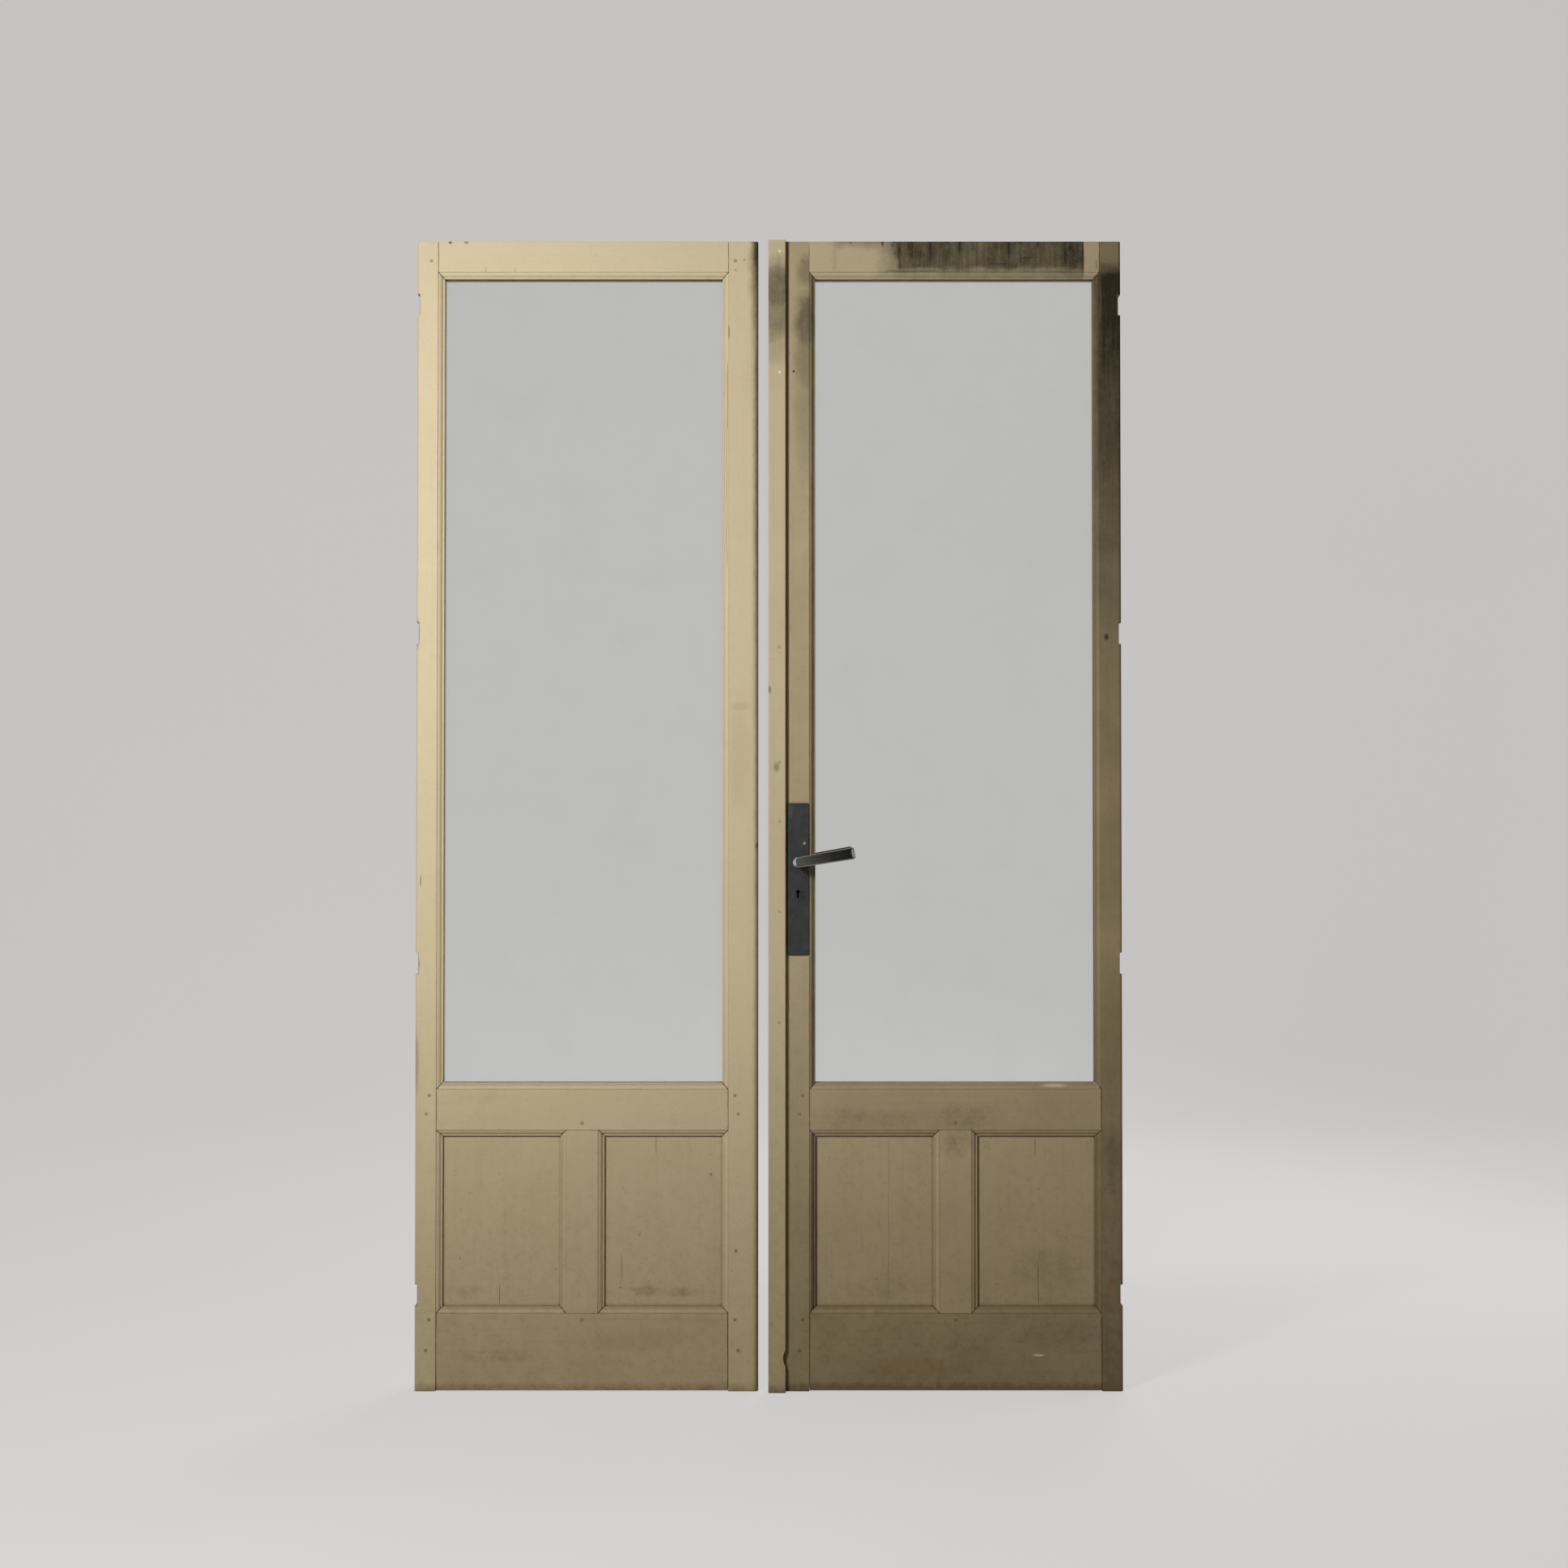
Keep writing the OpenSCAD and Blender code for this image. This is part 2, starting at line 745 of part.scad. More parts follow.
// Depth of the brads' axes behind the front face, midway through the glazing beads
brad_y = front_y + (bead_depth + leaf_t - bead_setback) / 2;

// Evenly spread places along an edge
function spread(low, high) =
  let (count = ceil((high - low) / brad_pitch))
  [for (i = [0 : count - 1]) low + (i + 0.5) * (high - low) / count];

// The brads of one leaf, driven through the glazing beads into the rebate
module brads(r) {
  inner = mould_w - glazing_bead_r;
  for (z = spread(light_low, light_high)) {
    translate([hinge_stile_w + inner - brad_l, brad_y, z]) rotate([0, 90, 0]) cylinder(r = r, h = brad_l);
    translate([hinge_stile_w + rail_l - inner, brad_y, z]) rotate([0, 90, 0]) cylinder(r = r, h = brad_l);
  }
  for (x = spread(hinge_stile_w + mould_w, hinge_stile_w + rail_l - mould_w)) {
    translate([x, brad_y, middle_face_top + inner - brad_l]) cylinder(r = r, h = brad_l);
    translate([x, brad_y, top_face_low - inner]) cylinder(r = r, h = brad_l);
  }
}

// The holes for one leaf's brads
module brad_holes() {
  brads(brad_r + nail_fit);
}

// A wood screw along z: its head is flush with z = 0, and it points to -z
module screw() {
  translate([0, 0, -screw_head_t]) cylinder(r1 = screw_r, r2 = screw_head_r, h = screw_head_t);
  translate([0, 0, -screw_l]) cylinder(r = screw_r, h = screw_l - screw_head_t);
}

// The hole that a screw needs, open at its head
module screw_hole() {
  translate([0, 0, -screw_head_t])
    cylinder(r1 = screw_r + screw_fit, r2 = screw_head_r + screw_fit, h = screw_head_t);
  translate([0, 0, -screw_l - eps]) cylinder(r = screw_r + screw_fit, h = screw_l + 2 * eps);
  cylinder(r = screw_head_r + screw_fit, h = eps);
}

// The strip's nails along y, or with room round them the holes
module nails(room) {
  for (z = nail_zs)
    translate([right_edge + nail_inset, front_y - strip_t, z]) rotate([-90, 0, 0]) {
      cylinder(r = nail_head_r + room, h = nail_head_t);
      cylinder(r = nail_r + room, h = nail_l);
    }
}

// Strip that laps the left leaf: arrises rounded, one edge chipped near the foot
module meeting_strip() {
  chip_r = (chip_l * chip_l / 4 + chip_d * chip_d) / (2 * chip_d);
  color(paint_right) difference() {
    translate([right_edge - strip_over, front_y - strip_t, 0]) linear_extrude(leaf_h) difference() {
      square([strip_w, strip_t]);
      corner_waste(strip_r);
      translate([strip_w, 0]) mirror([1, 0]) corner_waste(strip_r);
    }
    nails(nail_fit);
    translate([right_edge - strip_over + strip_w - chip_d + chip_r, front_y, chip_z])
      rotate([90, 0, 0]) cylinder(r = chip_r, h = 3 * strip_t, center = true);
  }
}

module strip_nails() {
  color(steel_dark) nails(0);
}

// A keyhole along y from the front into the lock, with room round its outline
module keyhole(room) {
  translate([spindle_x, 0, key_z]) {
    rotate([90, 0, 0]) cylinder(r = key_r + room, h = leaf_t);
    block([-key_slot_w / 2 - room, -leaf_t, -key_slot_l - room], [key_slot_w / 2 + room, 0, 0]);
  }
}

// Windows for the latch bolt and the dead bolt, along x between two planes, with room round them
module bolt_windows(low_x, high_x, room) {
  block([low_x, -latch_t / 2 - room, latch_low - room], [high_x, latch_t / 2 + room, latch_high + room]);
  block([low_x, -latch_t / 2 - room, dead_low - room],
        [high_x, latch_t / 2 + room, dead_low + dead_h + room]);
}

// Places of the forend's screws, heads at the leaf's edge
module at_forend_screws() {
  for (z = [forend_low + forend_lip / 2, forend_high - forend_lip / 2])
    translate([right_edge, 0, z]) rotate([0, -90, 0]) children();
}

// The pocket that takes the lock in the right meeting stile
module lock_pocket() {
  block([right_edge - eps, -forend_w / 2 - case_fit, forend_low - case_fit],
        [right_edge + forend_t, forend_w / 2 + case_fit, forend_high + case_fit]);
  block([right_edge - eps, -case_t / 2 - case_fit, case_low - case_fit],
        [case_x + case_d + case_fit, case_t / 2 + case_fit, case_high + case_fit]);
  at_forend_screws() screw_hole();
}

// A round hole along y on the spindle's axis
module spindle_hole(r, depth) {
  translate([spindle_x, 0, spindle_z]) rotate([90, 0, 0]) cylinder(r = r, h = depth, center = true);
}

// Radius of the holes that the turning spindle needs
spindle_hole_r = spindle_w * sqrt(2) / 2 + spindle_room;

// Heights of the backplate screws, from the spindle
plate_screw_zs = [
  plate_up - plate_screw_end, plate_screw_up, -plate_screw_down, plate_screw_end - plate_down
];

// Places of the backplate screws on both faces, with z pointing out of the plate
module at_plate_screws(faces) {
  for (face = faces, z = plate_screw_zs)
    translate([spindle_x + plate_screw_x, face * plate_y, spindle_z + z])
      rotate([-90 * face, 0, 0]) children();
}

// A round-headed screw with a driver slot, seated on z = 0
module plate_screw() {
  difference() {
    cylinder(r1 = screw_head_r, r2 = plate_screw_top_r, h = plate_screw_rise);
    block([-screw_head_r, -slot_w / 2, plate_screw_rise - slot_d],
          [screw_head_r, slot_w / 2, plate_screw_rise + eps]);
  }
  translate([0, 0, -plate_screw_l]) cylinder(r = screw_r, h = plate_screw_l);
}

module plate_screw_hole() {
  translate([0, 0, -plate_screw_l - eps]) cylinder(r = screw_r + screw_fit, h = plate_screw_l + 2 * eps);
}

// Right meeting stile, with the lock's pocket and the holes of the lever set and the strip
module right_meeting_stile() {
  color(paint_right) difference() {
    place("right") meeting_stile("right");
    lock_pocket();
    spindle_hole(spindle_hole_r, leaf_t + 2 * eps);
    keyhole(spindle_room);
    at_plate_screws([-1, 1]) plate_screw_hole();
    nails(nail_fit);
  }
}

// Lock case, open at the back where its cover lies
module lock_case() {
  inner = case_t / 2 - case_wall;
  color(steel_dark) difference() {
    block([case_x, -case_t / 2, case_low], [case_x + case_d, inner, case_high]);
    block([case_x + case_wall, -inner, case_low + case_wall],
          [case_x + case_d - case_wall, case_t, case_high - case_wall]);
    bolt_windows(case_x - eps, case_x + case_wall + eps, bolt_fit);
    spindle_hole(neck_r + bearing_fit, leaf_t);
    keyhole(0);
  }
}

module lock_cover() {
  color(steel_dark) difference() {
    block([case_x, case_t / 2 - case_wall, case_low], [case_x + case_d, case_t / 2, case_high]);
    spindle_hole(neck_r + bearing_fit, leaf_t);
  }
}

// Forend, let in flush with the leaf's edge
module lock_forend() {
  color(steel_bright) difference() {
    block([right_edge, -forend_w / 2, forend_low], [right_edge + forend_t, forend_w / 2, forend_high]);
    bolt_windows(right_edge - eps, right_edge + forend_t + eps, bolt_fit);
    at_forend_screws() screw_hole();
  }
}

module forend_screws() {
  color(steel_bright) at_forend_screws() screw();
}

// Latch bolt: a bevelled head, and a tail that reaches over the follower's arm to a lug
module latch_bolt() {
  lug_x = spindle_x + arm_w / 2 + lug_gap;
  color(steel_bright) {
    translate([right_edge, 0, latch_low]) linear_extrude(latch_h) polygon([
      [-latch_throw, -latch_t / 2],
      [latch_in, -latch_t / 2],
      [latch_in, latch_t / 2],
      [0, latch_t / 2],
      [-latch_throw, latch_nose - latch_t / 2]
    ]);
    block([right_edge + latch_in - eps, -tail_t / 2, tail_low], [lug_x + lug_w, tail_t / 2, latch_high]);
    block([lug_x, -tail_t / 2, spindle_z + hub_r + arm_gap], [lug_x + lug_w, tail_t / 2, latch_high]);
  }
}

// Dead bolt, withdrawn: its tail passes over the keyhole and is notched for the key
module dead_bolt() {
  tail_high = dead_low + dead_h;
  color(steel_bright) difference() {
    union() {
      block([right_edge, -latch_t / 2, dead_low], [right_edge + dead_l, latch_t / 2, tail_high]);
      block([right_edge + dead_l - eps, -tail_t / 2, tail_high - tail_h],
            [spindle_x + dead_tail, tail_t / 2, tail_high]);
    }
    block([spindle_x - talon_w / 2, -tail_t, tail_high - tail_h - eps],
          [spindle_x + talon_w / 2, tail_t, tail_high - tail_h + talon_d]);
  }
}

// What turns with the levers is drawn about the spindle and tilted as the levers rest
module on_spindle() {
  translate([spindle_x, 0, spindle_z]) rotate([0, -lever_tilt, 0]) children();
}

// A square bar along y on the spindle's axis, with room round it
module square_bar(half_l, room) {
  block([-spindle_w / 2 - room, -half_l, -spindle_w / 2 - room],
        [spindle_w / 2 + room, half_l, spindle_w / 2 + room]);
}

// Follower: a hub in the lock case with an arm that draws the latch bolt back
module follower() {
  hub_t = cavity_t - 2 * bolt_fit;
  color(steel_bright) difference() {
    union() {
      spindle_hole(hub_r, hub_t);
      spindle_hole(neck_r, case_t);
      translate([spindle_x, 0, spindle_z])
        block([-arm_w / 2, -tail_t / 2, 0], [arm_w / 2, tail_t / 2, arm_l]);
    }
    on_spindle() square_bar(leaf_t, spindle_fit);
  }
}

spindle_half = plate_y + lever_reach - spindle_stop;

module spindle() {
  color(steel_bright) on_spindle() square_bar(spindle_half, 0);
}

// A backplate on the front face, with its spindle hole and screw holes
module backplate() {
  color(steel_dark) difference() {
    translate([spindle_x, front_y, spindle_z]) rotate([90, 0, 0]) linear_extrude(plate_t) difference() {
      translate([-plate_w / 2, -plate_down]) square([plate_w, plate_down + plate_up]);
      for (sx = [0, 1], sy = [0, 1])
        mirror([sx, 0]) translate([-plate_w / 2, sy * (plate_up + plate_down) - plate_down])
          mirror([0, sy]) corner_waste(plate_r);
    }
    spindle_hole(spindle_hole_r, 3 * leaf_t);
    at_plate_screws([-1]) plate_screw_hole();
  }
}

// The front plate also has the keyhole, as the lock is keyed from this side
module front_backplate() {
  difference() {
    backplate();
    keyhole(0);
  }
}

module rear_backplate() {
  mirror([0, 1, 0]) backplate();
}

module backplate_screws() {
  color(steel_bright) at_plate_screws([-1, 1]) plate_screw();
}

// Outline of a lever bar: round at the spindle, with a rounded square tip
module lever_outline() {
  circle(lever_h / 2);
  difference() {
    translate([0, -lever_h / 2]) square([lever_l, lever_h]);
    for (s = [0, 1])
      mirror([0, s]) translate([lever_l, -lever_h / 2]) mirror([1, 0]) corner_waste(lever_tip_r);
  }
}

// A lever for the front face, drawn about the spindle and pointing to +x
module lever() {
  bar_back = plate_y + lever_reach;
  collar_back = plate_y + collar_gap;
  hollow_half = lever_h / 2 - lever_rim;
  rotate([90, 0, 0]) difference() {
    union() {
      translate([0, 0, bar_back]) linear_extrude(lever_t) lever_outline();
      translate([0, 0, collar_back]) cylinder(r = lever_neck_r, h = bar_back - collar_back);
      translate([0, 0, collar_back]) cylinder(r = collar_r, h = collar_l);
    }
    translate([0, 0, bar_back + lever_t]) rotate([90, 0, 0]) translate([0, 0, -hollow_half])
      linear_extrude(2 * hollow_half) polygon([
        [hollow_start, eps],
        [hollow_start, 0],
        [lever_l - lever_rim, -hollow_d],
        [lever_l - lever_rim, eps]
      ]);
    block([-spindle_w / 2 - spindle_fit, -spindle_w / 2 - spindle_fit, 0],
          [spindle_w / 2 + spindle_fit, spindle_w / 2 + spindle_fit, spindle_half + spindle_fit]);
    translate([0, 0, bar_back - set_screw_back]) rotate([-90, 0, 0])
      cylinder(r = set_screw_r + screw_fit, h = lever_neck_r + eps);
  }
}

module front_lever() {
  color(steel_dark) on_spindle() lever();
}

module rear_lever() {
  color(steel_dark) on_spindle() mirror([0, 1, 0]) lever();
}

// Set screws in the lever necks, against the spindle
module lever_screws() {
  seat = spindle_w / 2 + spindle_fit;
  color(steel_bright) on_spindle() for (face = [-1, 1])
    translate([0, face * (plate_y + lever_reach - set_screw_back), seat])
      cylinder(r = set_screw_r, h = lever_neck_r - seat - slot_d);
}

// Places of the strike plate's screws, heads at the left leaf's edge
module at_strike_screws() {
  for (z = [strike_low + strike_lip / 2, strike_high - strike_lip / 2])
    translate([left_edge, 0, z]) rotate([0, 90, 0]) children();
}

module strike_plate() {
  color(steel_bright) difference() {
    block([left_edge - strike_t, -strike_w / 2, strike_low], [left_edge, strike_w / 2, strike_high]);
    bolt_windows(left_edge - strike_t - eps, left_edge + eps, strike_fit);
    at_strike_screws() screw_hole();
  }
}

module strike_screws() {
  color(steel_bright) at_strike_screws() screw();
}

// Puts a flush bolt drawn at the foot of the left leaf at its foot or at its top
module flush_end_of(end) {
  if (end == "bottom")
    children();
  else
    translate([0, 0, leaf_h]) mirror([0, 0, 1]) children();
}

// Places of one flush bolt plate's screws: a pair beside the rod and one past its end
module at_flush_screws() {
  for (y = [-flush_screw_y, flush_screw_y])
    translate([left_edge, y, flush_end + flush_screw_end]) rotate([0, 90, 0]) children();
  translate([left_edge, 0, flush_end + flush_h - flush_screw_end]) rotate([0, 90, 0]) children();
}

// Slot that a thumb piece slides in, between two depths
module thumb_slot(low_x, high_x, half_w) {
  block([low_x, -half_w - flush_fit, thumb_low - flush_throw - flush_fit],
        [high_x, half_w + flush_fit, thumb_high + flush_fit]);
}

module flush_plate(end) {
  color(steel_bright) flush_end_of(end) difference() {
    block([left_edge - flush_t, -flush_w / 2, flush_end], [left_edge, flush_w / 2, flush_end + flush_h]);
    thumb_slot(left_edge - flush_t - eps, left_edge + eps, thumb_w / 2);
    at_flush_screws() screw_hole();
  }
}

// A rod with a scooped thumb piece, withdrawn
module flush_bolt(end) {
  color(steel_bright) flush_end_of(end) difference() {
    union() {
      translate([rod_x, 0, rod_gap]) cylinder(r = rod_r, h = thumb_high - rod_gap);
      block([rod_x, -thumb_w / 2, thumb_low], [left_edge, thumb_w / 2, thumb_high]);
    }
    translate([left_edge + scoop_r - scoop_d, 0, (thumb_low + thumb_high) / 2])
      rotate([90, 0, 0]) cylinder(r = scoop_r, h = 2 * thumb_w, center = true);
  }
}

// The seat, slot and bore that a flush bolt needs in the left meeting stile
module flush_pocket(end) {
  flush_end_of(end) {
    block([left_edge - flush_t, -flush_w / 2 - case_fit, flush_end - case_fit],
          [left_edge + eps, flush_w / 2 + case_fit, flush_end + flush_h + case_fit]);
    thumb_slot(rod_x - rod_r - flush_fit, left_edge, rod_r);
    translate([rod_x, 0, -eps]) cylinder(r = rod_r + flush_fit, h = thumb_low);
    at_flush_screws() screw_hole();
  }
}

// The seat and the two sockets that the strike plate needs in the left meeting stile
module strike_pocket() {
  block([left_edge - strike_t, -strike_w / 2 - case_fit, strike_low - case_fit],
        [left_edge + eps, strike_w / 2 + case_fit, strike_high + case_fit]);
  bolt_windows(left_edge - dead_throw - socket_gap, left_edge, strike_fit);
  at_strike_screws() screw_hole();
}

// Left meeting stile, with the seats of the strike plate and the flush bolts
module left_meeting_stile() {
  color(paint_left) difference() {
    place("left") meeting_stile("left");
    strike_pocket();
    flush_pocket("bottom");
    flush_pocket("top");
  }
}

module top_bolt_plate() {
  flush_plate("top");
}

module top_bolt() {
  flush_bolt("top");
}

module bottom_bolt_plate() {
  flush_plate("bottom");
}

module bottom_bolt() {
  flush_bolt("bottom");
}

module bolt_plate_screws() {
  color(steel_bright) for (end = ["bottom", "top"])
    flush_end_of(end) at_flush_screws() screw();
}

// The sub-parts that both leaves have
module painted(side) {
  color(paint(side)) place(side) children();
}

for (side = ["left", "right"]) {
  painted(side) hinge_stile(side);
  painted(side) top_rail();
  painted(side) middle_rail();
  painted(side) bottom_rail();
  painted(side) muntin();
  painted(side) panel(opening_xs[0]);
  painted(side) panel(opening_xs[1]);
  color(glass_tint) place(side) pane();
  painted(side) bead_top();
  painted(side) bead_bottom();
  painted(side) bead_hinge_side();
  painted(side) bead_meeting_side();
  color(steel_dark) place(side) brads(brad_r);
  color(wood_bare) place(side) leaf_pegs(peg_r, leaf_t);
}
left_meeting_stile();
right_meeting_stile();
meeting_strip();
strip_nails();
lock_case();
lock_cover();
lock_forend();
forend_screws();
latch_bolt();
dead_bolt();
follower();
spindle();
front_backplate();
rear_backplate();
backplate_screws();
front_lever();
rear_lever();
lever_screws();
strike_plate();
strike_screws();
top_bolt_plate();
top_bolt();
bottom_bolt_plate();
bottom_bolt();
bolt_plate_screws();
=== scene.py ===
# %% [markdown]
# # A pair of painted and glazed door leaves
# The solids come packed from the CAD source, in metres, with +Z up and the front of the leaves
# facing -Y. This lesson dresses them: old cream paint with soot and scratches, clear panes and a
# dull dark lever set. The frame is loaded first, because the later cells take its nodes, joints
# and mounts.

# %% Load the packed solids
import json
import math

import bmesh
import bpy
import numpy as np
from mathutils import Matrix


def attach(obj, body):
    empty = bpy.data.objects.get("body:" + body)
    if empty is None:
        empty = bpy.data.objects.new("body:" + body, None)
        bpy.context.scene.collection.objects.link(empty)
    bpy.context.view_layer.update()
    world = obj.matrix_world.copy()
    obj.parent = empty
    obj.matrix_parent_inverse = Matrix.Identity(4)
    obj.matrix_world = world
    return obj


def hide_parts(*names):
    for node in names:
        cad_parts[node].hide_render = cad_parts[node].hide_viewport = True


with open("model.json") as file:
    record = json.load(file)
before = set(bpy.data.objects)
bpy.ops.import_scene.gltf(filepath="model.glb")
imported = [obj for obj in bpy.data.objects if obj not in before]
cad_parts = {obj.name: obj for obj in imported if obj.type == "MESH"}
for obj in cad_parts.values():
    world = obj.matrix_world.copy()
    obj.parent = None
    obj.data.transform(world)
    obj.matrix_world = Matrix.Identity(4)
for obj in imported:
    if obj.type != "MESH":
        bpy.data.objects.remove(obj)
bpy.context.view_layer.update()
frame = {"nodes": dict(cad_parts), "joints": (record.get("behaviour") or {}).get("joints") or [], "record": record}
nodes = frame["nodes"]
scene = bpy.context.scene

# %% [markdown]
# ## The camera
# The picture was taken straight on, a little above half the height of the leaves and pitched
# slightly up. Its place was solved from the corners of the leaves: with a focal length given in
# picture pixels, the lens follows from the width of the sensor, so the framing needs no shift.

# %% Camera
PICTURE_SIDE = 1932
FOCAL_PIXELS = 2700
SENSOR_WIDTH = 36.0
CAMERA_PLACE = (0.0296, -4.309, 1.1102)
CAMERA_PITCH = math.radians(0.98)


def put(name, data):
    """Links a new object made from data into the scene."""
    thing = bpy.data.objects.new(name, data)
    scene.collection.objects.link(thing)
    return thing


camera = put("camera", bpy.data.cameras.new("camera"))
camera.data.sensor_width = SENSOR_WIDTH
camera.data.lens = SENSOR_WIDTH * FOCAL_PIXELS / PICTURE_SIDE
camera.location = CAMERA_PLACE
camera.rotation_euler = (math.radians(90) + CAMERA_PITCH, 0, 0)
scene.camera = camera
scene.view_settings.view_transform = "Standard"
print("lens:", round(camera.data.lens, 2), "mm")

# %% [markdown]
# ## Shader maths as Python
# A material is a graph of nodes, and a graph drawn by hand is hard to read back. Here one small
# class wraps a socket, so that `1 - mask * 0.5` adds the Math nodes that work it out, and one
# method adds any other node. Each finish below is then a few lines of arithmetic.

# %% Signals and finishes


class Signal:
    """A socket of a finish. Arithmetic on signals adds Math nodes to that finish."""

    def __init__(self, finish, socket):
        self.finish = finish
        self.socket = socket

    def math(self, operation, *others):
        """A Math node on this signal and others, in order."""
        values = dict(enumerate((self, *others)))
        return self.finish.node("Math", {"operation": operation}, values)

    def __add__(self, other):
        return self.math("ADD", other)

    def __radd__(self, other):
        return self.math("ADD", other)

    def __sub__(self, other):
        return self.math("SUBTRACT", other)

    def __rsub__(self, other):
        return self.finish.node("Math", {"operation": "SUBTRACT"}, {0: other, 1: self})

    def __mul__(self, other):
        return self.math("MULTIPLY", other)

    def __rmul__(self, other):
        return self.math("MULTIPLY", other)

    def __truediv__(self, other):
        return self.math("DIVIDE", other)

    def __pow__(self, other):
        return self.math("POWER", other)

    def __abs__(self):
        return self.math("ABSOLUTE")

    def __or__(self, other):
        """The larger of two masks."""
        return self.math("MAXIMUM", other)

    def rise(self, low, high):
        """0 below low, 1 above high and a smooth slope between."""
        sockets = {"Value": self, "From Min": low, "From Max": high}
        return self.finish.node("MapRange", {"interpolation_type": "SMOOTHSTEP"}, sockets)


class Finish:
    """A new material, or another owner of a node tree such as a world, with its tree to fill."""

    def __init__(self, name, owners=bpy.data.materials, end="OutputMaterial"):
        self.owner = owners.new(name)
        self.owner.use_nodes = True
        self.tree = self.owner.node_tree
        self.tree.nodes.clear()
        self.end = end

    def node(self, kind, settings=None, sockets=None, out=0):
        """Adds one node: its settings first, then the values or links of its sockets."""
        made = self.tree.nodes.new("ShaderNode" + kind)
        for key, value in (settings or {}).items():
            setattr(made, key, value)
        for key, value in (sockets or {}).items():
            if isinstance(value, Signal):
                self.tree.links.new(value.socket, made.inputs[key])
            else:
                made.inputs[key].default_value = value
        return Signal(self, made.outputs[out]) if made.outputs else None

    def tint(self, first, second, factor):
        """Colour that goes from first to second as factor goes from 0 to 1."""
        first, second = (c if isinstance(c, Signal) else (*c, 1) for c in (first, second))
        return self.node("Mix", {"data_type": "RGBA"}, {0: factor, 6: first, 7: second}, out=2)

    def noise(self, place, scale, detail=3.0, rough=0.55):
        """Cloudy noise from 0 to 1 at a place."""
        sockets = {"Vector": place, "Scale": scale, "Detail": detail, "Roughness": rough}
        return self.node("TexNoise", {}, sockets)

    def stretch(self, place, scale):
        """A place scaled by its own amount along each axis."""
        return self.node("VectorMath", {"operation": "MULTIPLY"}, {0: place, 1: scale})

    def show(self, shader):
        """Sends a shader to the output and gives back the finished material or world."""
        self.node(self.end, {}, {"Surface": shader})
        return self.owner


class Place:
    """Where a point of the surface is, in metres: the whole vector and its x, y and z."""

    def __init__(self, finish):
        self.vector = finish.node("TexCoord", out="Object")
        split = [finish.node("SeparateXYZ", {}, {0: self.vector}, out=k) for k in range(3)]
        self.x, self.y, self.z = split


print("signals overload:", [m for m in vars(Signal) if m.startswith("__")])

# %% [markdown]
# ## Edges and corners
# Paint wears off where a hand or a boot meets an edge, and dirt stays where a brush can't reach;
# the corners are darkened as painted shade as well. Both places can be found without painting masks:
# a Bevel node turns the normal near an edge, so its angle with the plain normal marks the edge, and an
# Ambient Occlusion node marks the corners. Both nodes send out rays, so each finish asks for them
# once, with few samples.

# %% Edge and corner masks
EDGE_SAMPLES = 2
CORNER_SAMPLES = 3
EDGE_TURN = (0.02, 0.28)


def rounded_edges(finish, radius):
    """The normal with edges rounded by radius, and a mask: one less the cosine of its turn."""
    turned = finish.node("Bevel", {"samples": EDGE_SAMPLES}, {"Radius": radius})
    flat = finish.node("NewGeometry", out="Normal")
    sockets = {0: flat, 1: turned}
    cosine = finish.node("VectorMath", {"operation": "DOT_PRODUCT"}, sockets, out="Value")
    return turned, (1 - cosine).rise(*EDGE_TURN)


def corners(finish, reach):
    """1 deep in a corner and 0 in the open."""
    settings = {"samples": CORNER_SAMPLES}
    return 1 - finish.node("AmbientOcclusion", settings, {"Distance": reach}, out="AO")


print("samples for edges and corners:", EDGE_SAMPLES, CORNER_SAMPLES)

# %% [markdown]
# ## Marks on the paint
# The leaves carry soot, runs of dirt, cracks and stains, each at its own place, and two upright bands
# of painted shade. A mark is a mask worked out from the place of a point: a soft rectangle for smoke,
# a band that thins out downwards for a smoked column and for a band of painted shade, an ellipse with
# a ragged edge for a blot, a narrowing band for a drip, a thin wandering line for a crack. Noise makes
# their edges wander. They are listed for each piece, in metres, as a kind, a strength and the numbers
# of its shape.

# %% Marks
CRACK_WANDER = 0.003
CRACK_FADE = 0.010
CRACK_FADE_SHARE = 0.3
DRIP_WANDER = 0.002
COLUMN_WANDER = 0.03


def span(value, low, high, soft):
    """1 between low and high, with soft edges."""
    return value.rise(low - soft, low + soft) * (1 - value.rise(high - soft, high + soft))


def smoke(place, ragged, left, right, low, high, soft):
    """A rectangle whose soft edges wander by the noise."""
    drift = ragged * (soft * 1.4)
    return span(place.x + drift, left, right, soft) * span(place.z + drift, low, high, soft)


def column(place, ragged, left, right, soft, low, high):
    """An upright band that thins out downwards, from full at high to none at low: smoke, and on two edges painted
    shade.
    """
    across = span(place.x + ragged * (soft * 0.5), left, right, soft)
    return across * (place.z + ragged * COLUMN_WANDER).rise(low, high)


def blot(place, ragged, x, z, wide, high):
    """A ragged ellipse about (x, z): its edge is where the scaled distance passes one."""
    across = (place.x - x) / wide
    upward = (place.z - z) / high
    away = (across * across + upward * upward) ** 0.5 + ragged * 0.6
    return 1 - away.rise(0.35, 1.35)


def drip(place, ragged, x, top, long, wide):
    """A run of dirt that hangs from (x, top) and narrows to its end."""
    down = (top - place.z) / long
    aside = abs(place.x - x + ragged * DRIP_WANDER) / (wide * (1.1 - 0.6 * down))
    return (1 - aside.rise(0.3, 1.2)) * (1 - down.rise(0.5, 1.05))


def thin_line(aside, along, start, end, wide):
    """1 where the distance aside is small, between start and end, with ends that fade."""
    fade = min(CRACK_FADE, (end - start) * CRACK_FADE_SHARE)
    return (1 - aside.rise(wide * 0.2, wide)) * span(along, start, end, fade)


def crack(place, ragged, x, low, high, wide):
    """A thin upright line near x, which wanders a little."""
    return thin_line(abs(place.x - x + ragged * CRACK_WANDER), place.z, low, high, wide)


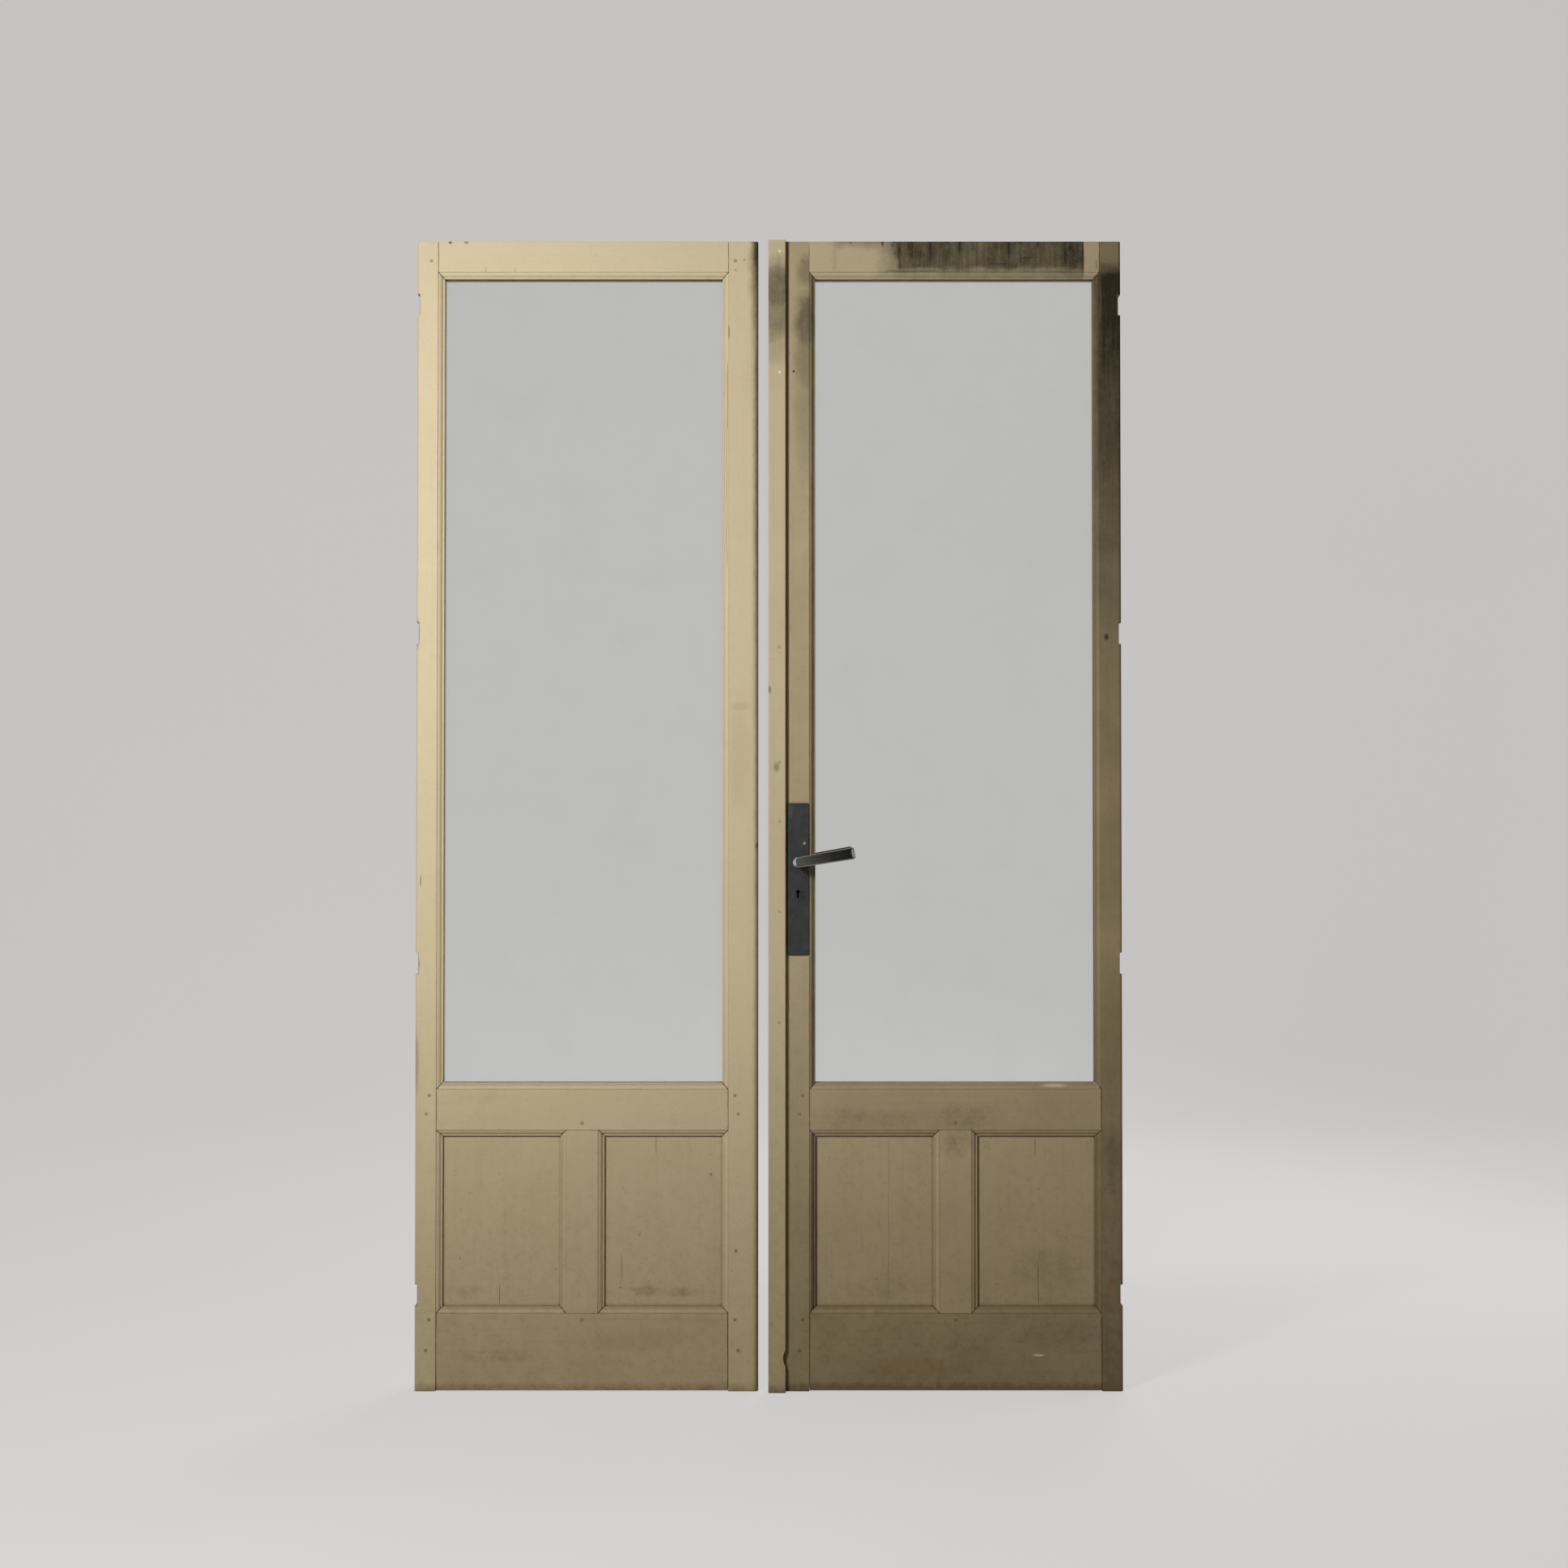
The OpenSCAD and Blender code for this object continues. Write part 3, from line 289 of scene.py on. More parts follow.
def level_crack(place, ragged, left, right, z, wide):
    """A thin level line near z, which wanders a little."""
    return thin_line(abs(place.z - z + ragged * CRACK_WANDER), place.x, left, right, wide)


MARK_SHAPES = {
    "smoke": smoke, "column": column, "soot": blot, "clean": smoke, "smudge": blot,
    "stain": blot, "pale": blot, "crack": crack, "level": level_crack, "drip": drip,
}


def marks_of(place, ragged, marks, *kinds):
    """The marks of some kinds as one mask: the largest of shape times strength, or None."""
    mask = None
    for kind, strength, *shape in marks:
        if kind in kinds:
            one = MARK_SHAPES[kind](place, ragged, *shape) * strength
            mask = one if mask is None else mask | one
    return mask


print("kinds of marks:", ", ".join(MARK_SHAPES))

# %% [markdown]
# ## Old cream paint
# Thick oil paint, brushed along the grain of each piece, has yellowed unevenly under a veil of
# grime and painted shade, which is thicker on the right leaf and towards the floor: the darkening
# there is partly grime and partly the fall of the light, painted in. Its layers share a few noises,
# from wide clouds down to specks, so those come first. Upright and level pieces need their own
# direction of brush strokes, which is a noise stretched along the grain.

# %% The noise in the paint
STROKES = {"z": (110.0, 110.0, 2.6), "x": (2.6, 110.0, 110.0)}
CLOUDS, RAGGED, GRAIN, SPECKS = 8.0, 24.0, 75.0, 430.0
FRONT_FADE = (-0.010, 0.014)
# Darkening towards the floor, partly grime and partly painted shade, reaches up to this height.
LOW_GRIME_AND_SHADE_TOP = 0.9


class PaintPlace(Place):
    """A place on the paint, with the noises and masks that its layers share."""

    def __init__(self, finish, along):
        super().__init__(finish)
        self.strokes = finish.noise(finish.stretch(self.vector, STROKES[along]), 1.0, 3.0, 0.6)
        self.clouds = finish.noise(self.vector, CLOUDS, 4.0, 0.6)
        self.grain = finish.noise(self.vector, GRAIN, 4.0, 0.65)
        self.speck = finish.noise(self.vector, SPECKS, 2.0)
        self.ragged = (finish.noise(self.vector, RAGGED, 4.0, 0.65) - 0.5) * 1.7
        self.front = 1 - self.y.rise(*FRONT_FADE)
        self.low = 1 - self.z.rise(0.0, LOW_GRIME_AND_SHADE_TOP)


print("noises to a metre:", CLOUDS, RAGGED, GRAIN, SPECKS)

# %% [markdown]
# The ground is cream. It yellows with the veil, the clouds and the nearness of the floor, and then
# grime, brush strokes and flecks darken it in turn; the veil and the nearness of the floor stand partly
# for grime and partly for painted shade, where the light falls off to the right and downwards. The
# corners darken with dirt and painted shade, blackest as painted shade in the deepest lines, and the
# arrises are worn to bare wood in places.

# %% The ground, its wear and its painted shade
CREAM = (0.672, 0.562, 0.352)
YELLOWED = (0.605, 0.482, 0.276)
GRIME_AND_SHADE = (0.150, 0.109, 0.055)
# The two dirt tones below also paint the shade in the corners.
DIRT_AND_SHADE = (0.092, 0.068, 0.031)
BLACK_DIRT_AND_SHADE = (0.026, 0.021, 0.014)
BARE_WOOD = (0.300, 0.215, 0.120)
# How much darker towards the floor: partly grime, partly painted shade.
LOW_GRIME_AND_SHADE = 0.32
FOOT = (0.004, 0.022)
KNOCKS = 105.0
CORNER_REACH = 0.007
ARRIS = 0.0010


def grimy_shaded_cream(f, at, veil_and_shade):
    """Cream that goes to yellow, then to grime and painted shade, then to dirt, each by a mask of its own."""
    # The veil and the nearness of the floor paint both grime and shade: yellowing and grime darken to the right
    # and downwards.
    yellowed_and_shaded = (0.15 + 1.2 * veil_and_shade + at.low * 0.55 + (at.clouds - 0.5) * 0.5).math("MINIMUM", 1.0)
    colour = f.tint(CREAM, YELLOWED, yellowed_and_shaded.math("MAXIMUM", 0.0))
    grime_and_shade = veil_and_shade * (0.70 + 0.60 * at.clouds) + at.low * (LOW_GRIME_AND_SHADE * (0.7 + 0.6 * at.grain))
    brushed = at.strokes.rise(0.45, 0.80) * 0.05 + at.grain.rise(0.50, 0.80) * 0.07
    foot = (1 - at.z.rise(*FOOT)) * at.grain * 0.5
    colour = f.tint(colour, GRIME_AND_SHADE, (grime_and_shade + brushed + foot).math("MINIMUM", 1.0))
    knocks = f.noise(at.vector, KNOCKS, 3.0, 0.6).rise(0.68, 0.75)
    flecks = at.speck.rise(0.66, 0.74) * (0.25 + 0.25 * at.low) | knocks * (0.22 + 0.28 * at.low)
    return f.tint(colour, DIRT_AND_SHADE, flecks)


def wear_and_shade(f, at, colour):
    """The colour with corners darkened by dirt and painted shade and with bare edges, the masks of both, and the
    rounded normal.
    """
    deep = corners(f, CORNER_REACH)
    # The corners darken partly as dirt and partly as painted shade.
    corner_dirt_and_shade = (deep - 0.25).rise(0.0, 0.5) * (0.55 + 0.55 * at.grain)
    colour = f.tint(colour, DIRT_AND_SHADE, corner_dirt_and_shade)
    # Painted shade: black lines along the deepest corners.
    colour = f.tint(colour, BLACK_DIRT_AND_SHADE, deep.rise(0.30, 0.52) * 0.60)
    normal, edge = rounded_edges(f, ARRIS)
    bare = edge * (at.grain * 0.6 + at.clouds * 0.6).rise(0.56, 0.70)
    return f.tint(colour, BARE_WOOD, bare * 0.7), deep, bare, normal


print("ground:", CREAM, "yellowed:", YELLOWED, "grime:", GRIME_AND_SHADE)

# %% [markdown]
# The marks lie over the ground. Soot, and the painted shade that shares its mask and colour, is
# streaked and mottled, and smudges are broken up by the grain. They belong to the front, so a mask
# fades them out on the way round to the back.

# %% Marks over the ground
# The soot tone also paints two bands of shade.
SOOT_AND_SHADE = (0.027, 0.021, 0.0085)
SOOT_STREAKS = (150.0, 60.0, 14.0)
STAIN = (0.240, 0.140, 0.055)
PALE = (0.720, 0.640, 0.470)
MARK_TONES = {
    "stain": STAIN, "pale": PALE, "crack": BLACK_DIRT_AND_SHADE, "level": BLACK_DIRT_AND_SHADE, "drip": BLACK_DIRT_AND_SHADE,
}


def sooted_and_shaded(f, at, marks):
    """The mask of all soot and painted shade, less what stayed clean, mottled by the noises; or None."""
    soot = marks_of(at, at.ragged, marks, "smoke", "column", "soot")
    if soot is None:
        return None
    clean = marks_of(at, at.ragged, marks, "clean")
    if clean is not None:
        soot = soot * (1 - clean)
    streaks = f.noise(f.stretch(at.vector, SOOT_STREAKS), 1.0, 3.0, 0.6)
    uneven = 0.5 * (at.clouds - 0.45) + 0.35 * (at.grain - 0.45) + 0.22 * (at.speck - 0.5)
    mottle = 0.84 + 0.10 * streaks.rise(0.35, 0.60) + uneven
    return (soot * mottle * at.front).math("MINIMUM", 1.0)


def marked(f, at, colour, marks):
    """The colour with smudges and then every other mark that has a tone of its own."""
    smudge = marks_of(at, at.ragged, marks, "smudge")
    if smudge is not None:
        broken = 0.30 + 0.70 * (at.grain * 0.7 + at.speck * 0.5).rise(0.46, 0.74)
        colour = f.tint(colour, DIRT_AND_SHADE, smudge * broken * at.front)
    for kind, tone in MARK_TONES.items():
        mask = marks_of(at, at.ragged, marks, kind)
        if mask is not None:
            colour = f.tint(colour, tone, mask * at.front)
    return colour


print("marks with a tone:", ", ".join(MARK_TONES))

# %% [markdown]
# One function puts the layers together for a piece: it takes the direction of the grain, the veil
# and the list of marks. The floors of the hinge recesses were never painted, and the frame says at
# which heights they are, since each one is a mount.

# %% The whole paint
PAINT_GLOSS = 0.25
PAINT_RELIEF = 0.0006
MOUNTS = frame["record"]["mounts"]
RECESS_HEIGHTS = [m["pos_m"][2] for m in MOUNTS if m["name"].startswith("left_hinge")]
RECESS_HALF = 0.021
RECESS_FLOOR = (0.6846, 0.6876)


def recess_floors(place):
    """1 on the floors of the empty hinge recesses, a band of x at each of their heights."""
    level = None
    for middle in RECESS_HEIGHTS:
        one = span(place.z, middle - RECESS_HALF, middle + RECESS_HALF, 0.0003)
        level = one if level is None else level | one
    return level * span(abs(place.x), *RECESS_FLOOR, 0.0002)


def paint(name, along, veil_and_shade=0.0, marks=(), recessed=False):
    """Brushed cream paint under a veil of grime and painted shade, on a piece whose grain runs along x or z."""
    f = Finish(name)
    at = PaintPlace(f, along)
    colour, deep, bare, normal = wear_and_shade(f, at, grimy_shaded_cream(f, at, veil_and_shade))
    dull = deep * 0.3 + bare * 0.3
    soot = sooted_and_shaded(f, at, marks)
    if soot is not None:
        # Soot and the bands of painted shade take this tint.
        colour = f.tint(colour, SOOT_AND_SHADE, soot)
        dull = dull | soot
    colour = marked(f, at, colour, marks)
    if recessed:
        rough_wood = 0.7 + 0.6 * (at.strokes - 0.5)
        colour = f.tint(colour, BARE_WOOD, recess_floors(at) * rough_wood)
    height = at.strokes * 0.6 + at.grain * 0.3 + at.clouds * 0.4 + at.speck * 0.12 - bare * 0.8
    relief = {"Height": height, "Strength": 0.35, "Distance": PAINT_RELIEF, "Normal": normal}
    sockets = {
        "Base Color": colour,
        "Roughness": 0.48 + 0.14 * at.clouds + 0.3 * dull,
        "Normal": f.node("Bump", {}, relief),
        "Specular IOR Level": PAINT_GLOSS,
    }
    return f.show(f.node("BsdfPrincipled", {}, sockets))


def dress(finish, *names):
    """Gives CAD nodes a finish, by their material slots."""
    for name in names:
        for slot in nodes[name].material_slots:
            slot.material = finish
    print(finish.name, "on", ", ".join(names))


# %% [markdown]
# ## The left leaf
# This leaf is the cleaner one. Its meeting stile is dark along the outer edge near the top, where
# the two leaves met, and its rounded outer edge is darkened for its whole height as painted shade.
# It has long scratches beside the glass and a yellowed patch at hand height. The rails have short
# knocks, and the panels have split where they shrank.

# %% Left leaf
dress(paint("left_hinge_stile_paint", "z", 0.0, [
    ("crack", 0.7, -0.6810, 0.985, 1.003, 0.0016),
    ("crack", 0.6, -0.6830, 0.826, 0.838, 0.0014),
    ("soot", 0.5, -0.6880, 1.480, 0.004, 0.030),
    ("soot", 0.35, -0.6890, 0.640, 0.006, 0.060),
], recessed=True), "left_hinge_stile")
dress(paint("left_meeting_stile_paint", "z", 0.02, [
    ("column", 0.90, -0.0330, 0.010, 0.0065, 1.850, 2.250),
    ("column", 0.62, -0.0300, 0.010, 0.0060, 0.300, 1.900),
    # Painted shade: the rounded outer edge, turned from the light, darker for its whole height.
    ("column", 0.45, -0.0290, 0.010, 0.0055, -0.500, -0.400),
    ("smudge", 0.33, -0.0365, 2.160, 0.006, 0.020),
    ("smudge", 0.28, -0.0365, 2.212, 0.006, 0.030),
    ("soot", 0.35, -0.0482, 2.214, 0.003, 0.003),
    ("soot", 0.30, -0.0657, 2.194, 0.003, 0.003),
    ("soot", 0.80, -0.0240, 1.063, 0.004, 0.009),
    ("soot", 0.70, -0.0640, 0.272, 0.003, 0.004),
    ("stain", 0.13, -0.0560, 1.240, 0.024, 0.110),
    ("stain", 0.20, -0.0560, 1.335, 0.020, 0.010),
    ("crack", 0.55, -0.0790, 2.060, 2.083, 0.0022),
    ("crack", 0.50, -0.0815, 1.880, 2.010, 0.0014),
    ("crack", 0.40, -0.0825, 1.610, 1.900, 0.0012),
]), "left_meeting_stile")
dress(paint("left_top_rail_paint", "x", 0.0, [
    ("soot", 0.8, -0.6264, 2.2490, 0.004, 0.004),
    ("soot", 0.8, -0.5946, 2.2490, 0.005, 0.003),
    ("crack", 0.45, -0.5565, 2.190, 2.200, 0.0014),
    ("crack", 0.45, -0.4994, 2.190, 2.199, 0.0014),
    ("crack", 0.35, -0.6493, 2.170, 2.270, 0.0014),
    ("crack", 0.50, -0.0797, 2.170, 2.270, 0.0014),
]), "left_top_rail")
dress(paint("left_middle_rail_paint", "x", 0.06, [
    ("crack", 0.60, -0.6493, 0.490, 0.605, 0.0016),
    ("crack", 0.60, -0.0797, 0.490, 0.605, 0.0016),
    ("smudge", 0.10, -0.5600, 0.570, 0.060, 0.010),
]), "left_middle_rail")
dress(paint("left_bottom_rail_paint", "x", 0.17, [
    ("smudge", 0.22, -0.5380, 0.068, 0.080, 0.018),
    ("stain", 0.15, -0.2500, 0.100, 0.100, 0.020),
    ("crack", 0.75, -0.6493, -0.020, 0.170, 0.0018),
    ("crack", 0.75, -0.0797, -0.020, 0.170, 0.0018),
]), "left_bottom_rail")
dress(paint("left_panel_paint", "z", 0.12, [
    ("crack", 0.8, -0.5264, 0.166, 0.202, 0.0011),
    ("crack", 0.7, -0.2214, 0.462, 0.497, 0.0011),
    ("crack", 0.7, -0.2882, 0.218, 0.260, 0.0010),
    ("smudge", 0.41, -0.2420, 0.192, 0.034, 0.010),
    ("smudge", 0.44, -0.1700, 0.190, 0.034, 0.010),
    ("smudge", 0.18, -0.5900, 0.190, 0.040, 0.014),
    ("soot", 0.6, -0.1134, 0.4195, 0.003, 0.003),
]), "left_hinge_panel", "left_meeting_panel", "left_muntin")

# %% [markdown]
# ## The right leaf
# Smoke has darkened this leaf: the top rail most of all, with runs that hang from its top edge, and
# then both stiles down to about half their height. Its heavier veil is partly grime and partly painted
# shade, for the light that falls off to the right. One end of the rail was kept clean by something
# that once covered it, and the line where it ended is still sharp: a mark of the kind "clean" takes
# the soot away there.

# %% Right top rail
RAIL_LOW = 2.1935
PAST_TOP = 2.270
dress(paint("right_top_rail_paint", "x", 0.24, [
    ("smoke", 0.50, 0.2250, 0.6600, 2.1750, 2.3000, 0.022),
    ("smoke", 0.88, 0.2480, 0.6600, 2.1910, 2.3000, 0.012),
    ("smoke", 0.95, 0.5520, 0.6600, 2.1910, 2.3000, 0.020),
    ("smoke", 0.94, 0.2420, 0.3060, 2.2100, 2.3000, 0.020),
    ("smoke", 0.93, 0.2420, 0.6600, 2.2420, 2.3000, 0.010),
    ("level", 0.55, 0.2300, 0.3330, 2.1915, 0.0024),
    ("level", 0.30, 0.3330, 0.6189, 2.1915, 0.0018),
    ("smoke", 0.45, 0.1300, 0.2600, 2.2400, PAST_TOP, 0.012),
    ("smoke", 0.22, 0.1265, 0.1320, RAIL_LOW, PAST_TOP, 0.006),
    ("clean", 0.95, 0.6189, 0.7000, 2.1000, PAST_TOP, 0.0009),
    ("drip", 0.85, 0.2234, 2.254, 0.018, 0.0036),
    ("drip", 0.50, 0.2812, 2.254, 0.050, 0.0024),
    ("drip", 0.55, 0.1600, 2.254, 0.010, 0.0040),
    ("level", 0.75, 0.4966, 0.5220, 2.2177, 0.0018),
    ("level", 0.65, 0.4347, 0.4712, 2.2066, 0.0018),
    ("drip", 0.85, 0.3172, 2.254, 0.062, 0.0032),
    ("drip", 0.90, 0.3743, 2.254, 0.038, 0.0034),
    ("crack", 0.35, 0.4077, 2.194, 2.252, 0.0022),
    ("drip", 0.95, 0.4712, 2.254, 0.044, 0.0038),
    ("crack", 0.35, 0.4712, 2.194, 2.220, 0.0022),
    ("crack", 0.70, 0.4945, 2.208, 2.220, 0.0020),
    ("drip", 0.85, 0.5284, 2.254, 0.020, 0.0034),
    ("crack", 0.60, 0.6170, 2.192, 2.252, 0.0026),
    ("crack", 0.60, 0.6440, 2.196, 2.212, 0.0016),
    ("crack", 0.60, 0.6493, 2.170, 2.270, 0.0016),
]), "right_top_rail")

# %% Right stiles and strip
dress(paint("right_hinge_stile_paint", "z", 0.67, [
    ("column", 1.05, 0.6500, 0.7600, 0.0060, 1.700, 2.120),
    ("column", 0.80, 0.6400, 0.7600, 0.0080, 1.150, 2.000),
    ("clean", 0.90, 0.6300, 0.7200, 2.200, 2.300, 0.022),
    ("soot", 0.90, 0.6618, 1.4727, 0.006, 0.009),
    ("smudge", 0.44, 0.6710, 0.4400, 0.010, 0.070),
    ("soot", 0.70, 0.6560, 2.2040, 0.004, 0.010),
    ("stain", 0.60, 0.6714, 0.1940, 0.010, 0.020),
], recessed=True), "right_hinge_stile")
dress(paint("right_meeting_stile_paint", "z", 0.41, [
    ("soot", 0.45, 0.0760, 2.190, 0.024, 0.034),
    ("soot", 0.66, 0.0760, 2.090, 0.026, 0.070),
    ("soot", 0.42, 0.0740, 2.010, 0.026, 0.090),
    ("soot", 0.25, 0.0720, 1.920, 0.024, 0.140),
    # Painted shade: the moulding on the inner side of the stile, turned from the light, darker for its whole
    # height.
    ("column", 0.55, 0.0810, 0.1100, 0.0030, -0.500, -0.400),
    ("soot", 1.00, 0.0487, 1.994, 0.0032, 0.0036),
]), "right_meeting_stile")
dress(paint("strip_paint", "z", 0.15, [
    ("soot", 0.80, 0.0150, 2.156, 0.040, 0.056),
    ("soot", 0.62, 0.0120, 2.100, 0.040, 0.060),
    ("smoke", 0.24, -0.0100, 0.0500, 2.012, 2.210, 0.016),
    ("soot", 0.85, 0.0030, 2.138, 0.004, 0.0018),
    ("soot", 0.55, 0.0010, 1.368, 0.004, 0.008),
    ("soot", 0.45, 0.0150, 1.217, 0.006, 0.010),
]), "meeting_strip")

# %% Right middle rail, panels and bottom rail
dress(paint("right_middle_rail_paint", "x", 0.38, [
    ("smudge", 0.30, 0.3775, 0.534, 0.070, 0.030),
    ("smudge", 0.25, 0.1900, 0.530, 0.110, 0.024),
    ("crack", 0.70, 0.6493, 0.490, 0.605, 0.0018),
    ("crack", 0.55, 0.0797, 0.490, 0.605, 0.0014),
    ("pale", 0.8, 0.5586, 0.5943, 0.026, 0.003),
]), "right_middle_rail")
dress(paint("right_bottom_rail_paint", "x", 0.44, [
    ("stain", 0.30, 0.2900, 0.045, 0.090, 0.028),
    ("smudge", 0.33, 0.2900, 0.040, 0.100, 0.024),
    ("smudge", 0.22, 0.5600, 0.110, 0.090, 0.024),
    ("crack", 0.75, 0.6493, -0.020, 0.170, 0.0018),
    ("crack", 0.75, 0.0797, -0.020, 0.170, 0.0018),
    ("pale", 0.8, 0.5252, 0.0701, 0.012, 0.002),
]), "right_bottom_rail")
dress(paint("right_panel_paint", "z", 0.25, [
    ("crack", 0.40, 0.2345, 0.180, 0.490, 0.0009),
    ("crack", 0.65, 0.5204, 0.455, 0.497, 0.0010),
    ("crack", 0.75, 0.5268, 0.168, 0.245, 0.0011),
    ("smudge", 0.36, 0.3656, 0.484, 0.030, 0.030),
    ("smudge", 0.25, 0.5400, 0.230, 0.070, 0.040),
    ("smudge", 0.19, 0.2300, 0.200, 0.090, 0.030),
]), "right_hinge_panel", "right_meeting_panel", "right_muntin")

# %% [markdown]
# ## Beads, pegs and nails
# The glazing beads at the back are painted with the leaves. The pegs of the joints show as dark
# discs, because their end grain takes up dirt. On the strip, two nails near the top have lost their
# paint and shine, so the nails' finish turns from paint to steel above a height.

# %% Beads, pegs and nails
BARE_NAIL_HEIGHT = 1.90
BARE_NAIL = (0.70, 0.68, 0.62)
NAIL_GRAIN = 300.0
PEG_DIRT = 0.30
BEAD_EDGES = ("top", "bottom", "hinge_side", "meeting_side")
for side, veil_and_shade in (("left", 0.15), ("right", 0.35)):
    beads = [side + "_bead_" + edge for edge in BEAD_EDGES]
    dress(paint(side + "_bead_paint", "z", veil_and_shade), *beads)
    dress(paint(side + "_peg_paint", "z", veil_and_shade + PEG_DIRT), side + "_pegs")


def nail_finish():
    """Cream paint over steel, and bare bright steel above BARE_NAIL_HEIGHT."""
    f = Finish("nail_paint")
    place = Place(f)
    grain = f.noise(place.vector, NAIL_GRAIN, 4.0)
    bare = place.z.rise(BARE_NAIL_HEIGHT - 0.01, BARE_NAIL_HEIGHT + 0.01)
    painted = f.tint(CREAM, GRIME_AND_SHADE, 0.30 + 0.40 * grain)
    sockets = {
        "Base Color": f.tint(painted, BARE_NAIL, bare),
        "Metallic": bare * 0.4,
        "Roughness": 0.55 - 0.20 * bare + 0.1 * grain,
    }
    return f.show(f.node("BsdfPrincipled", {}, sockets))


dress(nail_finish(), "strip_nails")

# %% [markdown]
# ## Window glass
# Each light holds one clear pane. A thin pane bends what is behind it too little to see, so it is
# made of a see-through shader and a mirror, mixed by how much a glass face reflects at each angle,
# with a film of dust that thickens toward the edges of the pane. Only the face where a ray enters
# reflects: the rays run straight on inside, so the far face would act as a full mirror at a slant.

# %% Glass
WHITE = (1, 1, 1, 1)
GLASS_TINT = (0.985, 0.992, 0.988, 1)
GLASS_IOR = 1.45
GLASS_ROUGH = 0.02
DUST = (0.42, 0.40, 0.34, 1)
DUST_PATCHES = 9.0
DUST_REACH = 0.03


def window_glass():
    """Clear glass: see-through, a mirror by Fresnel, and a thin film of dust."""
    f = Finish("window_glass")
    place = Place(f)
    clear = f.node("BsdfTransparent", {}, {"Color": GLASS_TINT})
    mirror = f.node("BsdfGlossy", {}, {"Color": WHITE, "Roughness": GLASS_ROUGH})
    entering = 1 - f.node("NewGeometry", out="Backfacing")
    gloss = f.node("Fresnel", {}, {"IOR": GLASS_IOR}) * entering
    pane = f.node("MixShader", {}, {0: gloss, 1: clear, 2: mirror})
    dust = f.node("BsdfDiffuse", {}, {"Color": DUST})
    patches = f.noise(place.vector, DUST_PATCHES, 5.0, 0.6).rise(0.45, 0.8)
    film = patches * 0.016 + corners(f, DUST_REACH) * 0.08
    return f.show(f.node("MixShader", {}, {0: film, 1: pane, 2: dust}))


dress(window_glass(), "left_glass", "right_glass")

# %% [markdown]
# ## Metal of the lock and bolts
# The backplates are dark and dull, the levers are bare and handled, and the bolts, plates and
# other screws are plain aged steel. All are one recipe: a base tone with cloudy tarnish, fine
# scratches and brighter edges, partly rubbed and partly a painted highlight; on the levers the
# rim, the dome and the end wall of the hollow are painted bright in the same way. A list of marks
# adds the scar beside the keyhole and the one screw of the backplate that is brighter than the rest.

# %% Metals
RUBBED_AND_HIGHLIGHT = "rubbed"
METAL_CLOUDS, METAL_RAGGED, METAL_FINE = 55.0, 260.0, 420.0
SCRATCHES = (900.0, 60.0, 160.0)
METAL_ARRIS = 0.0010
METAL_CORNER = 0.006
METAL_RELIEF = 0.0003
SCAR = (0.006, 0.006, 0.005)


def metal(name, tone, tarnish, bright, metallic, rough, rubbed, marks=(), handled=False):
    """Aged metal: tone clouded with tarnish, and bright at the edges and handled places, partly rubbed and partly
    a painted highlight.
    """
    f = Finish(name)
    place = Place(f)
    cloud = f.noise(place.vector, METAL_CLOUDS, 5.0, 0.6)
    fine = f.noise(place.vector, METAL_FINE, 3.0)
    ragged = (f.noise(place.vector, METAL_RAGGED, 3.0) - 0.5) * 2.2
    scratch = f.noise(f.stretch(place.vector, SCRATCHES), 1.0, 2.0).rise(0.66, 0.74)
    normal, edge = rounded_edges(f, METAL_ARRIS)
    # Brighter edges: partly rubbed wear, partly a painted highlight.
    edge = edge * rubbed
    shine = metallic
    if handled:
        # The levers' rim, dome and end wall are painted bright, partly as wear and partly as a painted highlight.
        hand_rubbed_and_highlight = f.node("Attribute", {"attribute_name": RUBBED_AND_HIGHLIGHT}, out="Fac")
        edge = edge | hand_rubbed_and_highlight
        shine = metallic - hand_rubbed_and_highlight.rise(0.55, 0.95) * 0.65
    colour = f.tint(tone, tarnish, cloud.rise(0.38, 0.66))
    # The corners darken toward black, as dirt and as painted shade.
    colour = f.tint(colour, BLACK_DIRT_AND_SHADE, corners(f, METAL_CORNER).rise(0.3, 0.9) * 0.7)
    colour = f.tint(colour, bright, edge * (0.55 + 0.6 * fine))
    colour = f.tint(colour, bright, scratch * 0.10 | fine.rise(0.60, 0.76) * 0.12)
    for kind, mark_tone in (("soot", SCAR), ("pale", bright)):
        mask = marks_of(place, ragged, marks, kind)
        if mask is not None:
            colour = f.tint(colour, mark_tone, mask)
    height = fine * 0.5 + cloud * 0.6 - scratch * 0.3
    relief = {"Height": height, "Strength": 0.3, "Distance": METAL_RELIEF, "Normal": normal}
    sockets = {
        "Base Color": colour,
        "Metallic": shine,
        "Roughness": rough + 0.25 * cloud - 0.15 * edge,
        "Normal": f.node("Bump", {}, relief),
    }
    return f.show(f.node("BsdfPrincipled", {}, sockets))


print("noises in the metal:", METAL_CLOUDS, METAL_RAGGED, METAL_FINE)

# %% [markdown]
# Each metal is then a short set of values for that recipe. Whatever has neither paint, glass nor iron
# by then is one of the plain steel pieces.

